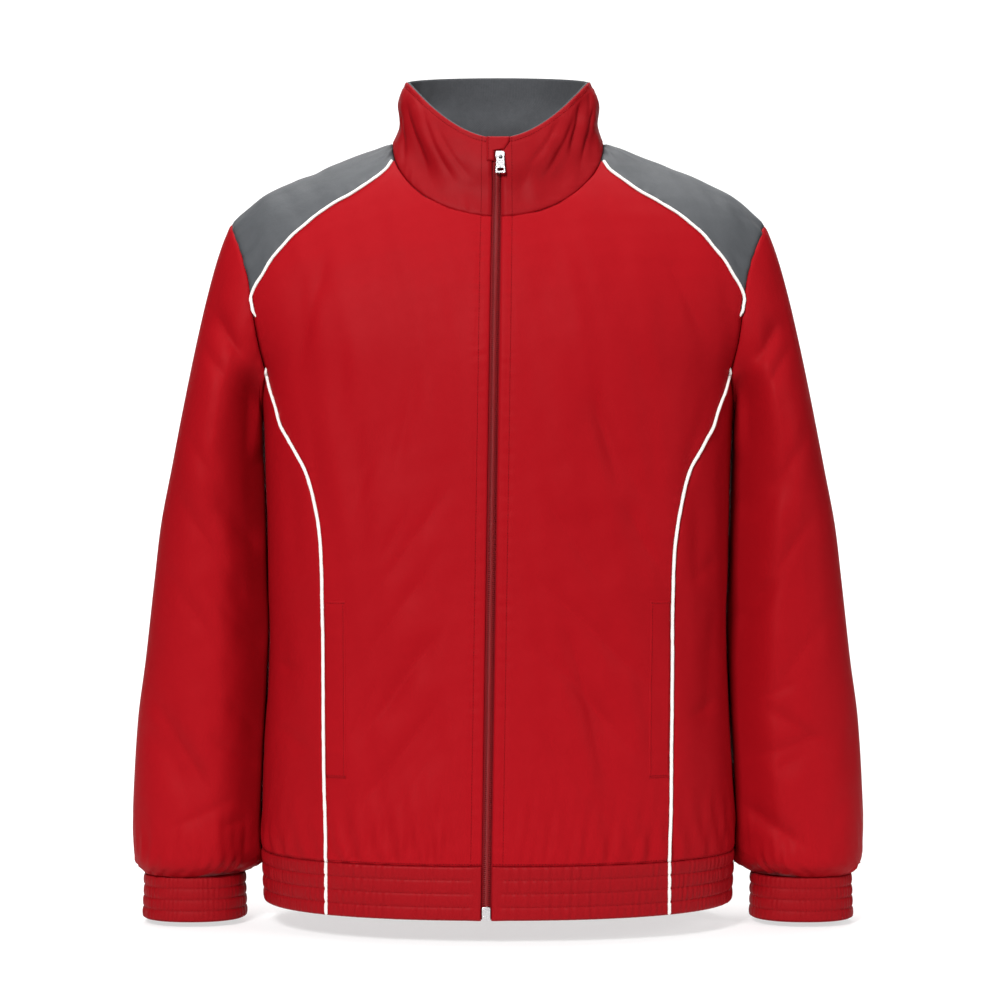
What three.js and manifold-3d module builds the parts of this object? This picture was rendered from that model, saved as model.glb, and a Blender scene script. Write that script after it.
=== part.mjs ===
// A woven track jacket, filled out as when it is worn, built from its cut pieces.
// Millimetres, +Z up, the front faces -Y and +X is the wearer's left.
// The origin is midway between the shoulders, level with the sides of the neck seam.
import * as THREE from 'three';
import { mergeVertices } from 'three/addons/utils/BufferGeometryUtils.js';
import Module from 'manifold-3d';

const wasm = await Module();
wasm.setup();

// A point inside the body, from which its skin faces away
const BODY_HUB = new THREE.Vector3(0, 0, -420);

// Cloth and seams
const CLOTH = 1.5;
const SEAM_GAP = 0.3;
const CASING = 3.0;

// Heights of the main levels
const NOTCH_Z = -218;
const ARMPIT_DROP = 40;
const HEM_TOP_Z = -652;
const HEM_BOTTOM_Z = -700;
const SLEEVE_LOFT_Z = -300;
const CUFF_TOP_Z = -676;
const CUFF_BOTTOM_Z = -717;

// Neck and collar
const NECK_HALF = 98;
const NECK_FRONT_DROP = 77;
const NECK_FRONT_DEPTH = 95;
const NECK_BACK_DEPTH = 80;
const NAPE_RISE = 31;
const RIM_HALF = 86;
const RIM_FRONT_Z = -5;
const RIM_SIDE_Z = 57;
const RIM_BACK_Z = 72;
const RIM_FRONT_DEPTH = 80;
const RIM_BACK_DEPTH = 74;
const RIM_CURVE = 1.9;
const LINING_SHOWS = 1.0;
const COLLAR_TRIM = 0.5;

// Zip
const LIP_HALF_GAP = 4.5;
const ZIP_LEAN = 0.0145;
const TAPE_HALF = 12;
const CHAIN_HALF = 3.2;
const CHAIN_TOP = 0.75;
const TAPE_ENDS_AT = 0.93;
const TAPE_THICK = 0.8;
const TAPE_CLEAR = 2.2;
const CHAIN_UNDER_SKIN = 0.2;

// Clear space between a sleeve and the side of the body
const SLEEVE_CLEAR = 3.5;
const SLEEVE_TRIM = 0.55;

// Body outline below the armholes, a row for each level
const TORSO = [
  { z: -218, half: 220, front: 131, back: 130, square: 2.7 },
  { z: -258, half: 217, front: 133, back: 131, square: 2.7 },
  { z: -330, half: 214, front: 135, back: 131, square: 2.65 },
  { z: -400, half: 212.5, front: 137, back: 130, square: 2.6 },
  { z: -445, half: 211, front: 139, back: 129, square: 2.5 },
  { z: -500, half: 213, front: 142, back: 130, square: 2.45 },
  { z: -565, half: 216.5, front: 146, back: 133, square: 2.35 },
  { z: -637, half: 219, front: 149, back: 137, square: 2.3 },
  { z: -652, half: 218, front: 148.5, back: 137, square: 2.3 },
  { z: -700, half: 215.5, front: 147, back: 136, square: 2.25 },
];

// Armhole seam, from the notch up to the shoulder tip
const ARMHOLE = [
  { rise: 0, out: 211, fore: 0.4367 },
  { rise: 0.22, out: 218, fore: 0.56 },
  { rise: 0.4, out: 221.5, fore: 0.63 },
  { rise: 0.6, out: 226, fore: 0.68 },
  { rise: 0.8, out: 235, fore: 0.73 },
  { rise: 0.92, out: 242.5, fore: 0.77 },
  { rise: 1, out: 246.6, fore: 0.8 },
];

// Shoulder ridge, by its share of the way from the middle to the armhole
const SHOULDER = [
  { share: 0, z: 12 },
  { share: 0.2, z: 9 },
  { share: 0.393, z: 0 },
  { share: 0.527, z: -11 },
  { share: 0.673, z: -25.5 },
  { share: 0.77, z: -35 },
  { share: 0.864, z: -46 },
  { share: 0.912, z: -54 },
  { share: 0.961, z: -65 },
  { share: 1, z: -75 },
];
const SHOULDER_TIP_OUT = 246.6;
const FRONT_BOW = 1.75;
const BACK_BOW = 2.3;

// Seam between the yoke and the front
const YOKE_SEAM = [
  { x: 95, z: -19 },
  { x: 102, z: -31 },
  { x: 129, z: -52 },
  { x: 147, z: -62 },
  { x: 165, z: -74 },
  { x: 182, z: -89 },
  { x: 194, z: -102 },
  { x: 206, z: -117 },
  { x: 214, z: -132 },
  { x: 223.6, z: -144 },
];
const YOKE_BACK_TURN = 0.45;
const YOKE_BACK_NECK = 0.21;

// Princess seam in front and plain side seam behind, as distances from the middle
const PRINCESS = [
  { z: -218, x: 211 },
  { z: -233, x: 207 },
  { z: -247, x: 201 },
  { z: -265, x: 195 },
  { z: -278, x: 187 },
  { z: -306, x: 172 },
  { z: -340, x: 162.5 },
  { z: -371, x: 157.6 },
  { z: -422, x: 155.7 },
  { z: -576, x: 154 },
  { z: -652, x: 152 },
  { z: -700, x: 149 },
];
const BACK_SEAM = [
  { z: -218, x: 211 },
  { z: -265, x: 205 },
  { z: -340, x: 194 },
  { z: -445, x: 186 },
  { z: -565, x: 188 },
  { z: -652, x: 188 },
  { z: -700, x: 186 },
];

// Sleeve sections below the armhole: outer and inner edge, middle and half depth front to back
const SLEEVE = [
  { z: -300, out: 302, in: 219, mid: 2, deep: 80 },
  { z: -353, out: 312.5, in: 216.5, mid: 4, deep: 77 },
  { z: -405, out: 319, in: 214.5, mid: 5, deep: 73 },
  { z: -479, out: 327.5, in: 213.5, mid: 6, deep: 69 },
  { z: -533, out: 334.6, in: 214.5, mid: 6, deep: 66 },
  { z: -611, out: 339, in: 217.5, mid: 4, deep: 62 },
  { z: -644, out: 338.7, in: 219, mid: 2, deep: 60 },
  { z: -665, out: 336, in: 222, mid: 0, deep: 56 },
  { z: -676, out: 327.2, in: 235.8, mid: -2, deep: 42.2 },
];
const SLEEVE_SQUARE = 2.2;
const CUFF = { out: 329, in: 234, mid: -2, deep: 44, square: 2.2, bottomGrow: 1.5 };

// Largest soft troughs on the body: start and end seen from the front, width and depth
const BODY_FOLDS = [
  { x0: -173, z0: -105, x1: -180, z1: -216, wide: 15, deep: 5, face: -1 },
  { x0: -74, z0: -188, x1: -99, z1: -335, wide: 17, deep: 7, face: -1 },
  { x0: 81, z0: -225, x1: 108, z1: -298, wide: 16, deep: 7, face: -1 },
  { x0: 71, z0: -326, x1: 103, z1: -386, wide: 16, deep: 6, face: -1 },
  { x0: 59, z0: -436, x1: 96, z1: -534, wide: 17, deep: 8, face: -1 },
  { x0: 95, z0: -520, x1: 106, z1: -616, wide: 16, deep: 6, face: -1 },
  { x0: -66, z0: -452, x1: -106, z1: -524, wide: 16, deep: 6, face: -1 },
  { x0: -38, z0: -522, x1: -106, z1: -592, wide: 17, deep: 7, face: -1 },
  { x0: -150, z0: -150, x1: -120, z1: -300, wide: 18, deep: 7, face: 1 },
  { x0: 150, z0: -140, x1: 115, z1: -310, wide: 18, deep: 7, face: 1 },
  { x0: -90, z0: -420, x1: -30, z1: -520, wide: 18, deep: 6, face: 1 },
  { x0: 100, z0: -470, x1: 40, z1: -590, wide: 18, deep: 7, face: 1 },
];

// Largest soft troughs on the sleeves, seen from the front
const SLEEVE_FOLDS = [
  { x0: -262, z0: -150, x1: -226, z1: -212, wide: 15, deep: 10, face: -1 },
  { x0: -268, z0: -318, x1: -215, z1: -380, wide: 15, deep: 8, face: -1 },
  { x0: -250, z0: -390, x1: -212, z1: -478, wide: 14, deep: 7, face: -1 },
  { x0: -326, z0: -530, x1: -260, z1: -612, wide: 16, deep: 6, face: -1 },
  { x0: 258, z0: -160, x1: 228, z1: -216, wide: 15, deep: 9, face: -1 },
  { x0: 262, z0: -300, x1: 216, z1: -350, wide: 15, deep: 7, face: -1 },
  { x0: 250, z0: -400, x1: 214, z1: -452, wide: 14, deep: 6, face: -1 },
  { x0: 222, z0: -604, x1: 286, z1: -652, wide: 13, deep: 6, face: -1 },
  { x0: 246, z0: -580, x1: 296, z1: -552, wide: 14, deep: 5, face: -1 },
  { x0: -300, z0: -350, x1: -240, z1: -430, wide: 17, deep: 8, face: 1 },
  { x0: 305, z0: -360, x1: 240, z1: -440, wide: 17, deep: 8, face: 1 },
  { x0: -310, z0: -520, x1: -250, z1: -560, wide: 16, deep: 6, face: 1 },
  { x0: 315, z0: -530, x1: 250, z1: -585, wide: 16, deep: 6, face: 1 },
];

// Soft troughs on the collar, by turn round the neck in degrees and share of its height
const COLLAR_FOLDS = [
  { turn0: -70, share0: 0.85, turn1: -34, share1: 0.1, wide: 0.14, deep: 4 },
  { turn0: 62, share0: 0.95, turn1: 40, share1: 0.35, wide: 0.13, deep: 4.5 },
  { turn0: 150, share0: 0.8, turn1: 178, share1: 0.2, wide: 0.15, deep: 3 },
];

// Swell of the collar between the neck seam and the rim
const COLLAR_SWELL = [
  { share: 0, out: 0 },
  { share: 0.3, out: -2.5 },
  { share: 0.65, out: 2.5 },
  { share: 1, out: 0 },
];
const COLLAR_HEIGHT = 72;
const COLLAR_ASPECT = 1.25;
const LINING_THICK = 1;

// Zip garage, level by level from its top
const GARAGE = [
  { z: -4, from: -9.9, to: 10.8 },
  { z: -9.8, from: -9.9, to: 9.9 },
  { z: -16, from: -9.9, to: 5.6 },
  { z: -17.2, from: -9.9, to: -3.2 },
  { z: -26.9, from: -9.9, to: -3.2 },
];
const GARAGE_THICK = 1.2;

// Slider, its bridge, the pull tab and the box at the foot of the zip
const SLIDER = {
  x: 2,
  z: -23,
  half: 4.4,
  length: 9.6,
  face: 2.4,
  edgeCut: 0.7,
  faceCut: 0.8,
  keelHalf: 3.1,
  overLips: 0.5,
  overChain: 0.1,
};
const BRIDGE = { pivot: 4, inner: 1.4, outer: 2.2, wide: 2, sunk: 0.6 };
const PULL = {
  topHalf: 3.3,
  footHalf: 4.6,
  barTop: 0.65,
  foot: -16.6,
  thick: 1.3,
  corner: 1.6,
  windowHalf: 1.6,
  windowTop: -0.6,
  windowFoot: -3.1,
  slotHalf: 2.8,
  slotTop: -12,
  slotFoot: -14.6,
  shift: 0.3,
};
const ZIP_BOX = { width: 7.4, height: 11.4, corner: 1.2, thick: 1.9, fromFoot: 1.2, overSkin: 0.1 };

// Elastic casings: stitched channels and gathers
const CHANNELS = 4;
const CHANNEL_PUFF = 2.2;
const GATHER_DEEP = 1.5;
const GATHER_AT_STITCH = 0.4;
const GATHER_UNEVEN = 0.22;
const GATHER_DRIFT = 2.4;
const FRONT_HEM_GATHERS = 16;
const BACK_HEM_GATHERS = 28;
const CUFF_GATHERS = 18;
const PLAIN_AT_ZIP = 11;
const FLAT_AT_ZIP = 2;
const TAPE_COVER = 8.6;
const PLAIN_AT_PIPING = 7;

// Grid of the walls
const LOWER_ROWS = 14;
const UPPER_ROWS = 6;
const NECK_COLUMNS = 5;
const YOKE_COLUMNS = 6;
const YOKE_ROWS = 7;
const SIDE_COLUMNS = 6;
const LOFT_ROWS = 5;
const COLLAR_ROWS = 4;
const SLEEVE_LEVELS = [-328, -365, -405, -450, -500, -550, -600, -640, -662, -676];

// Pocket welts, beside the princess seam
const POCKET = { top: -422, bottom: -576, wide: 18, fromSeam: 2.4, thick: 0.9 };

// Piping: half width, and heights of its shoulders and crown above the cloth
const PIPING = {
  half: 1.5,
  foot: 0.3,
  shoulder: 1.2,
  crown: 1.9,
  crownHalf: 0.7,
  armholeLean: 2.1,
  startIn: 0.16,
};

const SIDES = [
  { name: 'right', turn: -1 },
  { name: 'left', turn: 1 },
];

const MATERIALS = {
  red: new THREE.MeshStandardMaterial({ color: 0xae1a22, roughness: 0.62, metalness: 0 }),
  grey: new THREE.MeshStandardMaterial({ color: 0x606266, roughness: 0.66, metalness: 0 }),
  lining: new THREE.MeshStandardMaterial({ color: 0x4a4b4f, roughness: 0.8, metalness: 0 }),
  white: new THREE.MeshStandardMaterial({ color: 0xf0ebe6, roughness: 0.55, metalness: 0 }),
  zipTape: new THREE.MeshStandardMaterial({ color: 0x8e1a20, roughness: 0.6, metalness: 0 }),
  silver: new THREE.MeshStandardMaterial({ color: 0xc9cacc, roughness: 0.3, metalness: 1 }),
};

const jacket = new THREE.Group();

// Rounds of the searches for a place on a seam and on the collar
const SEAM_STEPS = 30;
const COLLAR_STEPS = 12;
// Share of the way to the armhole at which the shoulder meets the neck
const NECK_SHARE = 0.393;

const clamp = (value, low, high) => Math.min(Math.max(value, low), high);
const mix = (a, b, t) => a + (b - a) * t;
const range = (count) => Array.from({ length: count + 1 }, (_, i) => i / count);
const radians = (degrees) => (degrees * Math.PI) / 180;

function smoothStep(t) {
  const s = clamp(t, 0, 1);
  return s * s * (3 - 2 * s);
}

// Reads a table at a key value, with a smooth curve through its rows.
function rowAt(table, key, at) {
  const last = table.length - 1;
  const order = Math.sign(table[last][key] - table[0][key]);
  if ((at - table[0][key]) * order <= 0) return { ...table[0] };
  if ((at - table[last][key]) * order >= 0) return { ...table[last] };
  let i = 0;
  while ((at - table[i + 1][key]) * order > 0) i += 1;
  const span = table[i + 1][key] - table[i][key];
  const t = (at - table[i][key]) / span;
  const row = {};
  for (const name of Object.keys(table[i])) {
    const slope = (j) => {
      const before = table[Math.max(j - 1, 0)];
      const after = table[Math.min(j + 1, last)];
      return (after[name] - before[name]) / (after[key] - before[key]);
    };
    const rise = table[i + 1][name] - table[i][name];
    const startSlope = slope(i) * span;
    const endSlope = slope(i + 1) * span;
    const bend = (startSlope - rise) * (1 - t) + (rise - endSlope) * t;
    row[name] = table[i][name] + rise * t + t * (1 - t) * bend;
  }
  return row;
}

// Share of a trough's length over which it fades in and out
const FOLD_END = 0.35;
// How sharply a trough of one face is hidden on the other
const FACE_CUT = 2.5;

// Depth of a soft trough at a point, both in the same flat coordinates.
function troughDepth(fold, across, along) {
  const length = Math.hypot(fold.across1 - fold.across0, fold.along1 - fold.along0);
  const dirX = (fold.across1 - fold.across0) / length;
  const dirZ = (fold.along1 - fold.along0) / length;
  const run = ((across - fold.across0) * dirX + (along - fold.along0) * dirZ) / length;
  const away = (across - fold.across0) * dirZ - (along - fold.along0) * dirX;
  const ends = smoothStep(run / FOLD_END) * smoothStep((1 - run) / FOLD_END);
  return fold.deep * ends * Math.exp(-((away / fold.wide) ** 2));
}

// Sum of the troughs at a point, on the front (facing < 0) or the back.
function frontViewTroughs(folds, point, facing) {
  let depth = 0;
  for (const fold of folds) {
    const seen = smoothStep(fold.face * facing * FACE_CUT);
    const flat = { across0: fold.x0, along0: fold.z0, across1: fold.x1, along1: fold.z1 };
    depth += seen * troughDepth({ ...flat, wide: fold.wide, deep: fold.deep }, point.x, point.z);
  }
  return depth;
}

// Middle of the zip at a level: it leans a little to the wearer's right towards the hem.
const zipMiddle = (z) => ZIP_LEAN * z;
const zipEdge = (z, turn) => LIP_HALF_GAP + turn * zipMiddle(z);

// Shape of the direction away from the body
const AWAY = { half: 220, deep: 133, square: 1.7, sideShare: 0.6, topShare: 0.8, topSquare: 1.5 };

// Direction away from the body, the same for every panel that meets at a point.
function awayFromBody(point) {
  const { half, deep, square, sideShare, topShare, topSquare } = AWAY;
  const side = Math.sign(point.x) * Math.abs(point.x / half) ** square * sideShare;
  const front = Math.sign(point.y) * Math.abs(point.y / deep) ** square;
  const up = topShare * Math.max(0, 1 - point.z / NOTCH_Z) ** topSquare;
  return new THREE.Vector3(side, front, up).normalize();
}

// Where the body's troughs fade out: beside the zip, the armhole, the neck and the hem
const FADE = {
  zipStart: 22,
  zipOver: 30,
  armholeAt: 235,
  armholeOver: 40,
  neckAt: -75,
  neckOver: 40,
  hemOver: 25,
};

// Body skin with its troughs, faded out at the seams.
function withBodyFolds(point) {
  const fromZip = Math.abs(point.x - zipMiddle(point.z));
  const besideZip = smoothStep((fromZip - FADE.zipStart) / FADE.zipOver);
  const besideSeam = smoothStep((FADE.armholeAt - Math.abs(point.x)) / FADE.armholeOver);
  const belowNeck = smoothStep((FADE.neckAt - point.z) / FADE.neckOver);
  const aboveHem = smoothStep((point.z - HEM_TOP_Z) / FADE.hemOver);
  const depth = frontViewTroughs(BODY_FOLDS, point, point.y / TORSO[0].back);
  const kept = besideZip * besideSeam * belowNeck * aboveHem;
  return point.addScaledVector(awayFromBody(point), -depth * kept);
}

// Angle round the body of the point that lies x out from the middle, 0 in front.
function ringAngle(row, x, face) {
  const share = clamp(x / row.half, -1, 1);
  const angle = Math.atan2(share, (1 - Math.abs(share) ** row.square) ** (1 / row.square));
  return face < 0 ? angle : Math.PI - angle;
}

// Point of the body outline at a level and an angle, on the wearer's left.
function ringPoint(z, angle) {
  const row = rowAt(TORSO, 'z', z);
  const [sine, cosine] = [Math.sin(angle), Math.cos(angle)];
  const reach = (Math.abs(sine) ** row.square + Math.abs(cosine) ** row.square) ** (-1 / row.square);
  const depth = cosine > 0 ? row.front : row.back;
  return new THREE.Vector3(row.half * sine * reach, -depth * cosine * reach, z);
}

// Height of the shoulder ridge, or of its run-on over the neck opening.
function ridgeHeight(share, face) {
  const ridge = rowAt(SHOULDER, 'share', clamp(share, 0, 1)).z;
  const inNeck = Math.max(0, 1 - (share / NECK_SHARE) ** 2);
  return face > 0 ? ridge + NAPE_RISE * inNeck ** 2 : ridge;
}

// Point of the chest, shoulder and upper back: share out to the armhole, and turn
// from -1 on the chest over 0 on the ridge to 1 on the back.
function archPoint(share, turn) {
  const face = turn < 0 ? -1 : 1;
  const bow = turn < 0 ? FRONT_BOW : BACK_BOW;
  const angle = (Math.abs(turn) * Math.PI) / 2;
  const rise = Math.cos(angle) ** (2 / bow);
  const reach = Math.sin(angle) ** (2 / bow);
  const arm = rowAt(ARMHOLE, 'rise', rise);
  const base = rowAt(TORSO, 'z', NOTCH_Z);
  const depth = (turn < 0 ? base.front : base.back) * reach;
  const inward = 1 - arm.fore ** base.square;
  const round = (1 - share ** base.square * inward) ** (1 / base.square);
  const z = mix(NOTCH_Z, ridgeHeight(share, face), rise);
  return new THREE.Vector3(share * arm.out, face * depth * round, z);
}

// Share and turn of the point of the arches that lies x out at the height z.
function archPlace(x, z, face) {
  const bow = face < 0 ? FRONT_BOW : BACK_BOW;
  const riseOf = (share) => clamp((z - NOTCH_Z) / (ridgeHeight(share, face) - NOTCH_Z), 0, 1);
  let share = x / SHOULDER_TIP_OUT;
  for (let step = 0; step < SEAM_STEPS; step += 1) {
    share = Math.min(1, x / rowAt(ARMHOLE, 'rise', riseOf(share)).out);
  }
  const angle = Math.acos(Math.min(1, riseOf(share) ** (bow / 2)));
  return { share, turn: (face * angle * 2) / Math.PI };
}

const placeMix = (a, b, t) => ({ share: mix(a.share, b.share, t), turn: mix(a.turn, b.turn, t) });

// Place of a point of the front neck seam, 0 degrees in the middle.
function neckPlace(degrees) {
  const angle = radians(degrees);
  return archPlace(NECK_HALF * Math.sin(angle), -NECK_FRONT_DROP * Math.cos(angle), -1);
}

// Place of a point of the neck seam beside the shoulder ridge and behind it, by its turn.
function seamPlace(turn) {
  let share = NECK_HALF / SHOULDER_TIP_OUT;
  for (let step = 0; step < SEAM_STEPS; step += 1) {
    const point = archPoint(share, turn);
    const drop = turn < 0 ? Math.min(0, point.z) / NECK_FRONT_DROP : point.y / NECK_BACK_DEPTH;
    const x = NECK_HALF * Math.sqrt(Math.max(0, 1 - drop ** 2));
    const scale = share > 0 ? point.x / share : SHOULDER_TIP_OUT;
    share = mix(share, x / scale, 0.5);
  }
  return { share, turn };
}

// Body skin of one side at a place, with the folds of that side.
function bodySkin(point, turn) {
  point.x *= turn;
  return withBodyFolds(point);
}

// Steps to the neighbours from which a surface's direction is found, and how far it stays
// from the middle line and from the ends of the arches
const SITE_STEP = { share: 0.005, round: 0.004, level: 1, fromMiddle: 0.006, fromEnd: 0.005 };

// Skin point and outward direction of a smooth surface, the same for all panels that meet there.
function siteOf(surface, u, v, stepU, stepV, highU = Infinity) {
  const point = surface(u, v);
  const alongU = surface(Math.min(u + stepU, highU), v).sub(surface(u - stepU, v));
  const alongV = surface(u, v + stepV).sub(surface(u, v - stepV));
  const normal = alongU.cross(alongV).normalize();
  if (normal.dot(point.clone().sub(BODY_HUB)) < 0) normal.negate();
  return { point, normal };
}

function archSite(place, turn) {
  const surface = (share, round) => bodySkin(archPoint(share, round), turn);
  const { share, round, fromMiddle, fromEnd } = SITE_STEP;
  const turnIn = clamp(place.turn, fromEnd - 1, 1 - fromEnd);
  return siteOf(surface, Math.max(place.share, fromMiddle), turnIn, share, round, 1);
}

function ringSite(z, angle, turn) {
  const surface = (level, around) => bodySkin(ringPoint(level, around), turn);
  return siteOf(surface, z, angle, SITE_STEP.level, SITE_STEP.round);
}

const pointsOf = (sites) => sites.map((row) => row.map((site) => site.point));

// Seam places that neighbouring panels share
const NAPE_TURN = (Math.asin((NECK_BACK_DEPTH / TORSO[0].back) ** (BACK_BOW / 2)) * 2) / Math.PI;
const yokeStartAngle = (Math.asin(YOKE_SEAM[0].x / NECK_HALF) * 180) / Math.PI;

const tapeEdgeAngle = (Math.asin((TAPE_HALF + TAPE_CLEAR) / NECK_HALF) * 180) / Math.PI;

// Turns of the neck seam's columns in front: the zip edge, the tape's edge, then even steps.
function frontNeckTurns(turn) {
  const first = (Math.asin(zipEdge(-NECK_FRONT_DROP, turn) / NECK_HALF) * 180) / Math.PI;
  const rest = range(NECK_COLUMNS - 1).map((t) => mix(tapeEdgeAngle, yokeStartAngle, t));
  return [first, ...rest];
}

function frontTopPlaces(turn) {
  return [...frontNeckTurns(turn).map(neckPlace), ...yokeFrontPlaces().slice(1)];
}

function yokeFrontPlaces() {
  const lastRow = YOKE_SEAM[YOKE_SEAM.length - 1];
  const places = range(YOKE_COLUMNS).map((t) => {
    const x = mix(YOKE_SEAM[0].x, lastRow.x, t);
    return archPlace(x, rowAt(YOKE_SEAM, 'x', x).z, -1);
  });
  places[0] = neckPlace(yokeStartAngle);
  places[YOKE_COLUMNS].share = 1;
  return places;
}

function yokeBackPlaces() {
  const atNeck = seamPlace(YOKE_BACK_NECK);
  const atArm = { share: 1, turn: YOKE_BACK_TURN };
  return range(YOKE_COLUMNS).map((t) => placeMix(atNeck, atArm, t));
}

function backTopPlaces() {
  const neck = range(NECK_COLUMNS).map((t) => seamPlace(mix(NAPE_TURN, YOKE_BACK_NECK, t)));
  neck[0].share = 0;
  return [...neck, ...yokeBackPlaces().slice(1)];
}

const lowerLevels = range(LOWER_ROWS).map((t) => mix(HEM_TOP_Z + SEAM_GAP / 2, NOTCH_Z, t));

// Direction across a grid of points, found from its neighbours.
function gridNormals(grid, wrap, hub) {
  const rows = grid.length;
  const columns = grid[0].length;
  const at = (j, i) => {
    const row = grid[clamp(j, 0, rows - 1)];
    return row[wrap ? (i + columns) % columns : clamp(i, 0, columns - 1)];
  };
  let facing = 0;
  const normals = grid.map((row, j) =>
    row.map((point, i) => {
      const along = at(j, i + 1).clone().sub(at(j, i - 1));
      const up = at(j + 1, i).clone().sub(at(j - 1, i));
      const normal = along.cross(up).normalize();
      facing += normal.dot(point.clone().sub(hub).normalize());
      return normal;
    }),
  );
  const sign = facing < 0 ? -1 : 1;
  return normals.map((row) => row.map((normal) => normal.multiplyScalar(sign)));
}

const moved = (grid, normals, distance) =>
  grid.map((row, j) => row.map((point, i) => point.clone().addScaledVector(normals[j][i], distance)));

// Draws the outer points of a panel in, so that it stays clear of its neighbours.
function trimEdges(grid, amount, edges) {
  const rows = grid.length;
  const columns = grid[0].length;
  const draw = (point, towards) => {
    const step = towards.clone().sub(point).setLength(amount);
    point.add(step);
  };
  if (edges.includes('sides')) {
    for (const row of grid) {
      draw(row[0], row[1]);
      draw(row[columns - 1], row[columns - 2]);
    }
  }
  if (edges.includes('bottom')) grid[0].forEach((point, i) => draw(point, grid[1][i]));
  if (edges.includes('top')) grid[rows - 1].forEach((point, i) => draw(point, grid[rows - 2][i]));
  return grid;
}

// One closed body between an outer and an inner grid with the same columns.
function closedBody(outer, inner, wrap) {
  const columns = outer[0].length;
  const positions = [];
  const faces = [];
  const place = (grid) =>
    grid.map((row) =>
      row.map((point) => {
        positions.push(point.x, point.y, point.z);
        return positions.length / 3 - 1;
      }),
    );
  const out = place(outer);
  const within = place(inner);
  const next = (i) => (wrap ? (i + 1) % columns : i + 1);
  const steps = wrap ? columns : columns - 1;
  const quad = (a, b, c, d) => faces.push(a, b, c, a, c, d);
  const sheet = (grid, flip) => {
    for (let j = 0; j < grid.length - 1; j += 1) {
      for (let i = 0; i < steps; i += 1) {
        const [a, b] = [grid[j][i], grid[j][next(i)]];
        const [c, d] = [grid[j + 1][next(i)], grid[j + 1][i]];
        if (flip) quad(a, d, c, b);
        else quad(a, b, c, d);
      }
    }
  };
  sheet(out, false);
  sheet(within, true);
  const topOut = out[out.length - 1];
  const topIn = within[within.length - 1];
  for (let i = 0; i < steps; i += 1) {
    quad(out[0][next(i)], out[0][i], within[0][i], within[0][next(i)]);
    quad(topOut[i], topOut[next(i)], topIn[next(i)], topIn[i]);
  }
  const triangle = (a, b, c, flip) => (flip ? faces.push(a, c, b) : faces.push(a, b, c));
  const ladderCap = (i, flip) => {
    for (let j = 0; j < out.length - 1; j += 1) {
      triangle(out[j][i], out[j + 1][i], within[j + 1][i], flip);
      triangle(out[j][i], within[j + 1][i], within[j][i], flip);
    }
  };
  const fanCap = (i, flip) => {
    const loop = [...out.map((row) => row[i]), ...within.map((row) => row[i]).reverse()];
    const hinge = loop[loop.length - 1];
    for (let k = 0; k < loop.length - 2; k += 1) triangle(hinge, loop[k], loop[k + 1], flip);
  };
  if (!wrap) {
    const cap = out.length === within.length ? ladderCap : fanCap;
    cap(0, false);
    cap(columns - 1, true);
  }
  return solidGeometry(positions, faces);
}

// Turns the faces outward and makes the geometry.
function solidGeometry(positions, faces) {
  let volume = 0;
  const corner = (k) => new THREE.Vector3().fromArray(positions, 3 * k);
  for (let f = 0; f < faces.length; f += 3) {
    const [a, b, c] = [corner(faces[f]), corner(faces[f + 1]), corner(faces[f + 2])];
    volume += a.dot(b.cross(c));
  }
  const order = volume < 0 ? faces.slice().reverse() : faces;
  const geometry = new THREE.BufferGeometry();
  geometry.setAttribute('position', new THREE.Float32BufferAttribute(positions, 3));
  geometry.setIndex(order);
  geometry.computeVertexNormals();
  return geometry;
}

function addPiece(name, geometry, material) {
  const mesh = new THREE.Mesh(geometry, material);
  mesh.name = name;
  jacket.add(mesh);
  return mesh;
}

// A cloth wall from a grid of points on its outer face.
function clothWall(grid, { hub, wrap = false, outer = 0, inner = -CLOTH }) {
  const normals = gridNormals(grid, wrap, hub);
  return closedBody(moved(grid, normals, outer), moved(grid, normals, inner), wrap);
}

// A wall of the body from a grid of sites, drawn in at the seams that are named.
function bodyWall(sites, edges, { outer = 0, inner = -CLOTH } = {}) {
  const grid = trimEdges(pointsOf(sites), SEAM_GAP / 2, edges);
  const normals = sites.map((row) => row.map((site) => site.normal));
  return closedBody(moved(grid, normals, outer), moved(grid, normals, inner), false);
}

// How the loft of the sleeve leaves the armhole and meets the first section,
// each over the shoulder and under the arm
const LOFT_PULL = {
  start: { over: 118, under: 30 },
  end: { over: 200, under: 55 },
  outward: { over: 0.52, under: 0.95 },
  forward: 0.12,
  downward: { over: 0.85, under: 0.3 },
};
const LOFT_FOLDS_FROM = 0.4;
const CUFF_FADE = 30;

const SLEEVE_HUB = (turn) => new THREE.Vector3(turn * 272, 4, -440);
const COLLAR_HUB = new THREE.Vector3(0, 0, 0);

// Front: level rows up to the notch, then rows up to the neck seam and the yoke seam.
function frontGrid(turn) {
  const tops = frontTopPlaces(turn);
  const columns = tops.length - 1;
  const grid = lowerLevels.map((z) => {
    const row = rowAt(TORSO, 'z', z);
    const edge = zipEdge(z, turn);
    const seam = rowAt(PRINCESS, 'z', z).x;
    return tops.map((_, i) => ringSite(z, ringAngle(row, mix(edge, seam, i / columns), -1), turn));
  });
  const notchEdge = zipEdge(NOTCH_Z, turn);
  const starts = tops.map((_, i) => ({
    share: mix(notchEdge, ARMHOLE[0].out, i / columns) / ARMHOLE[0].out,
    turn: -1,
  }));
  for (const t of range(UPPER_ROWS).slice(1)) {
    grid.push(tops.map((top, i) => archSite(placeMix(starts[i], top, t), turn)));
  }
  return grid;
}

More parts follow.
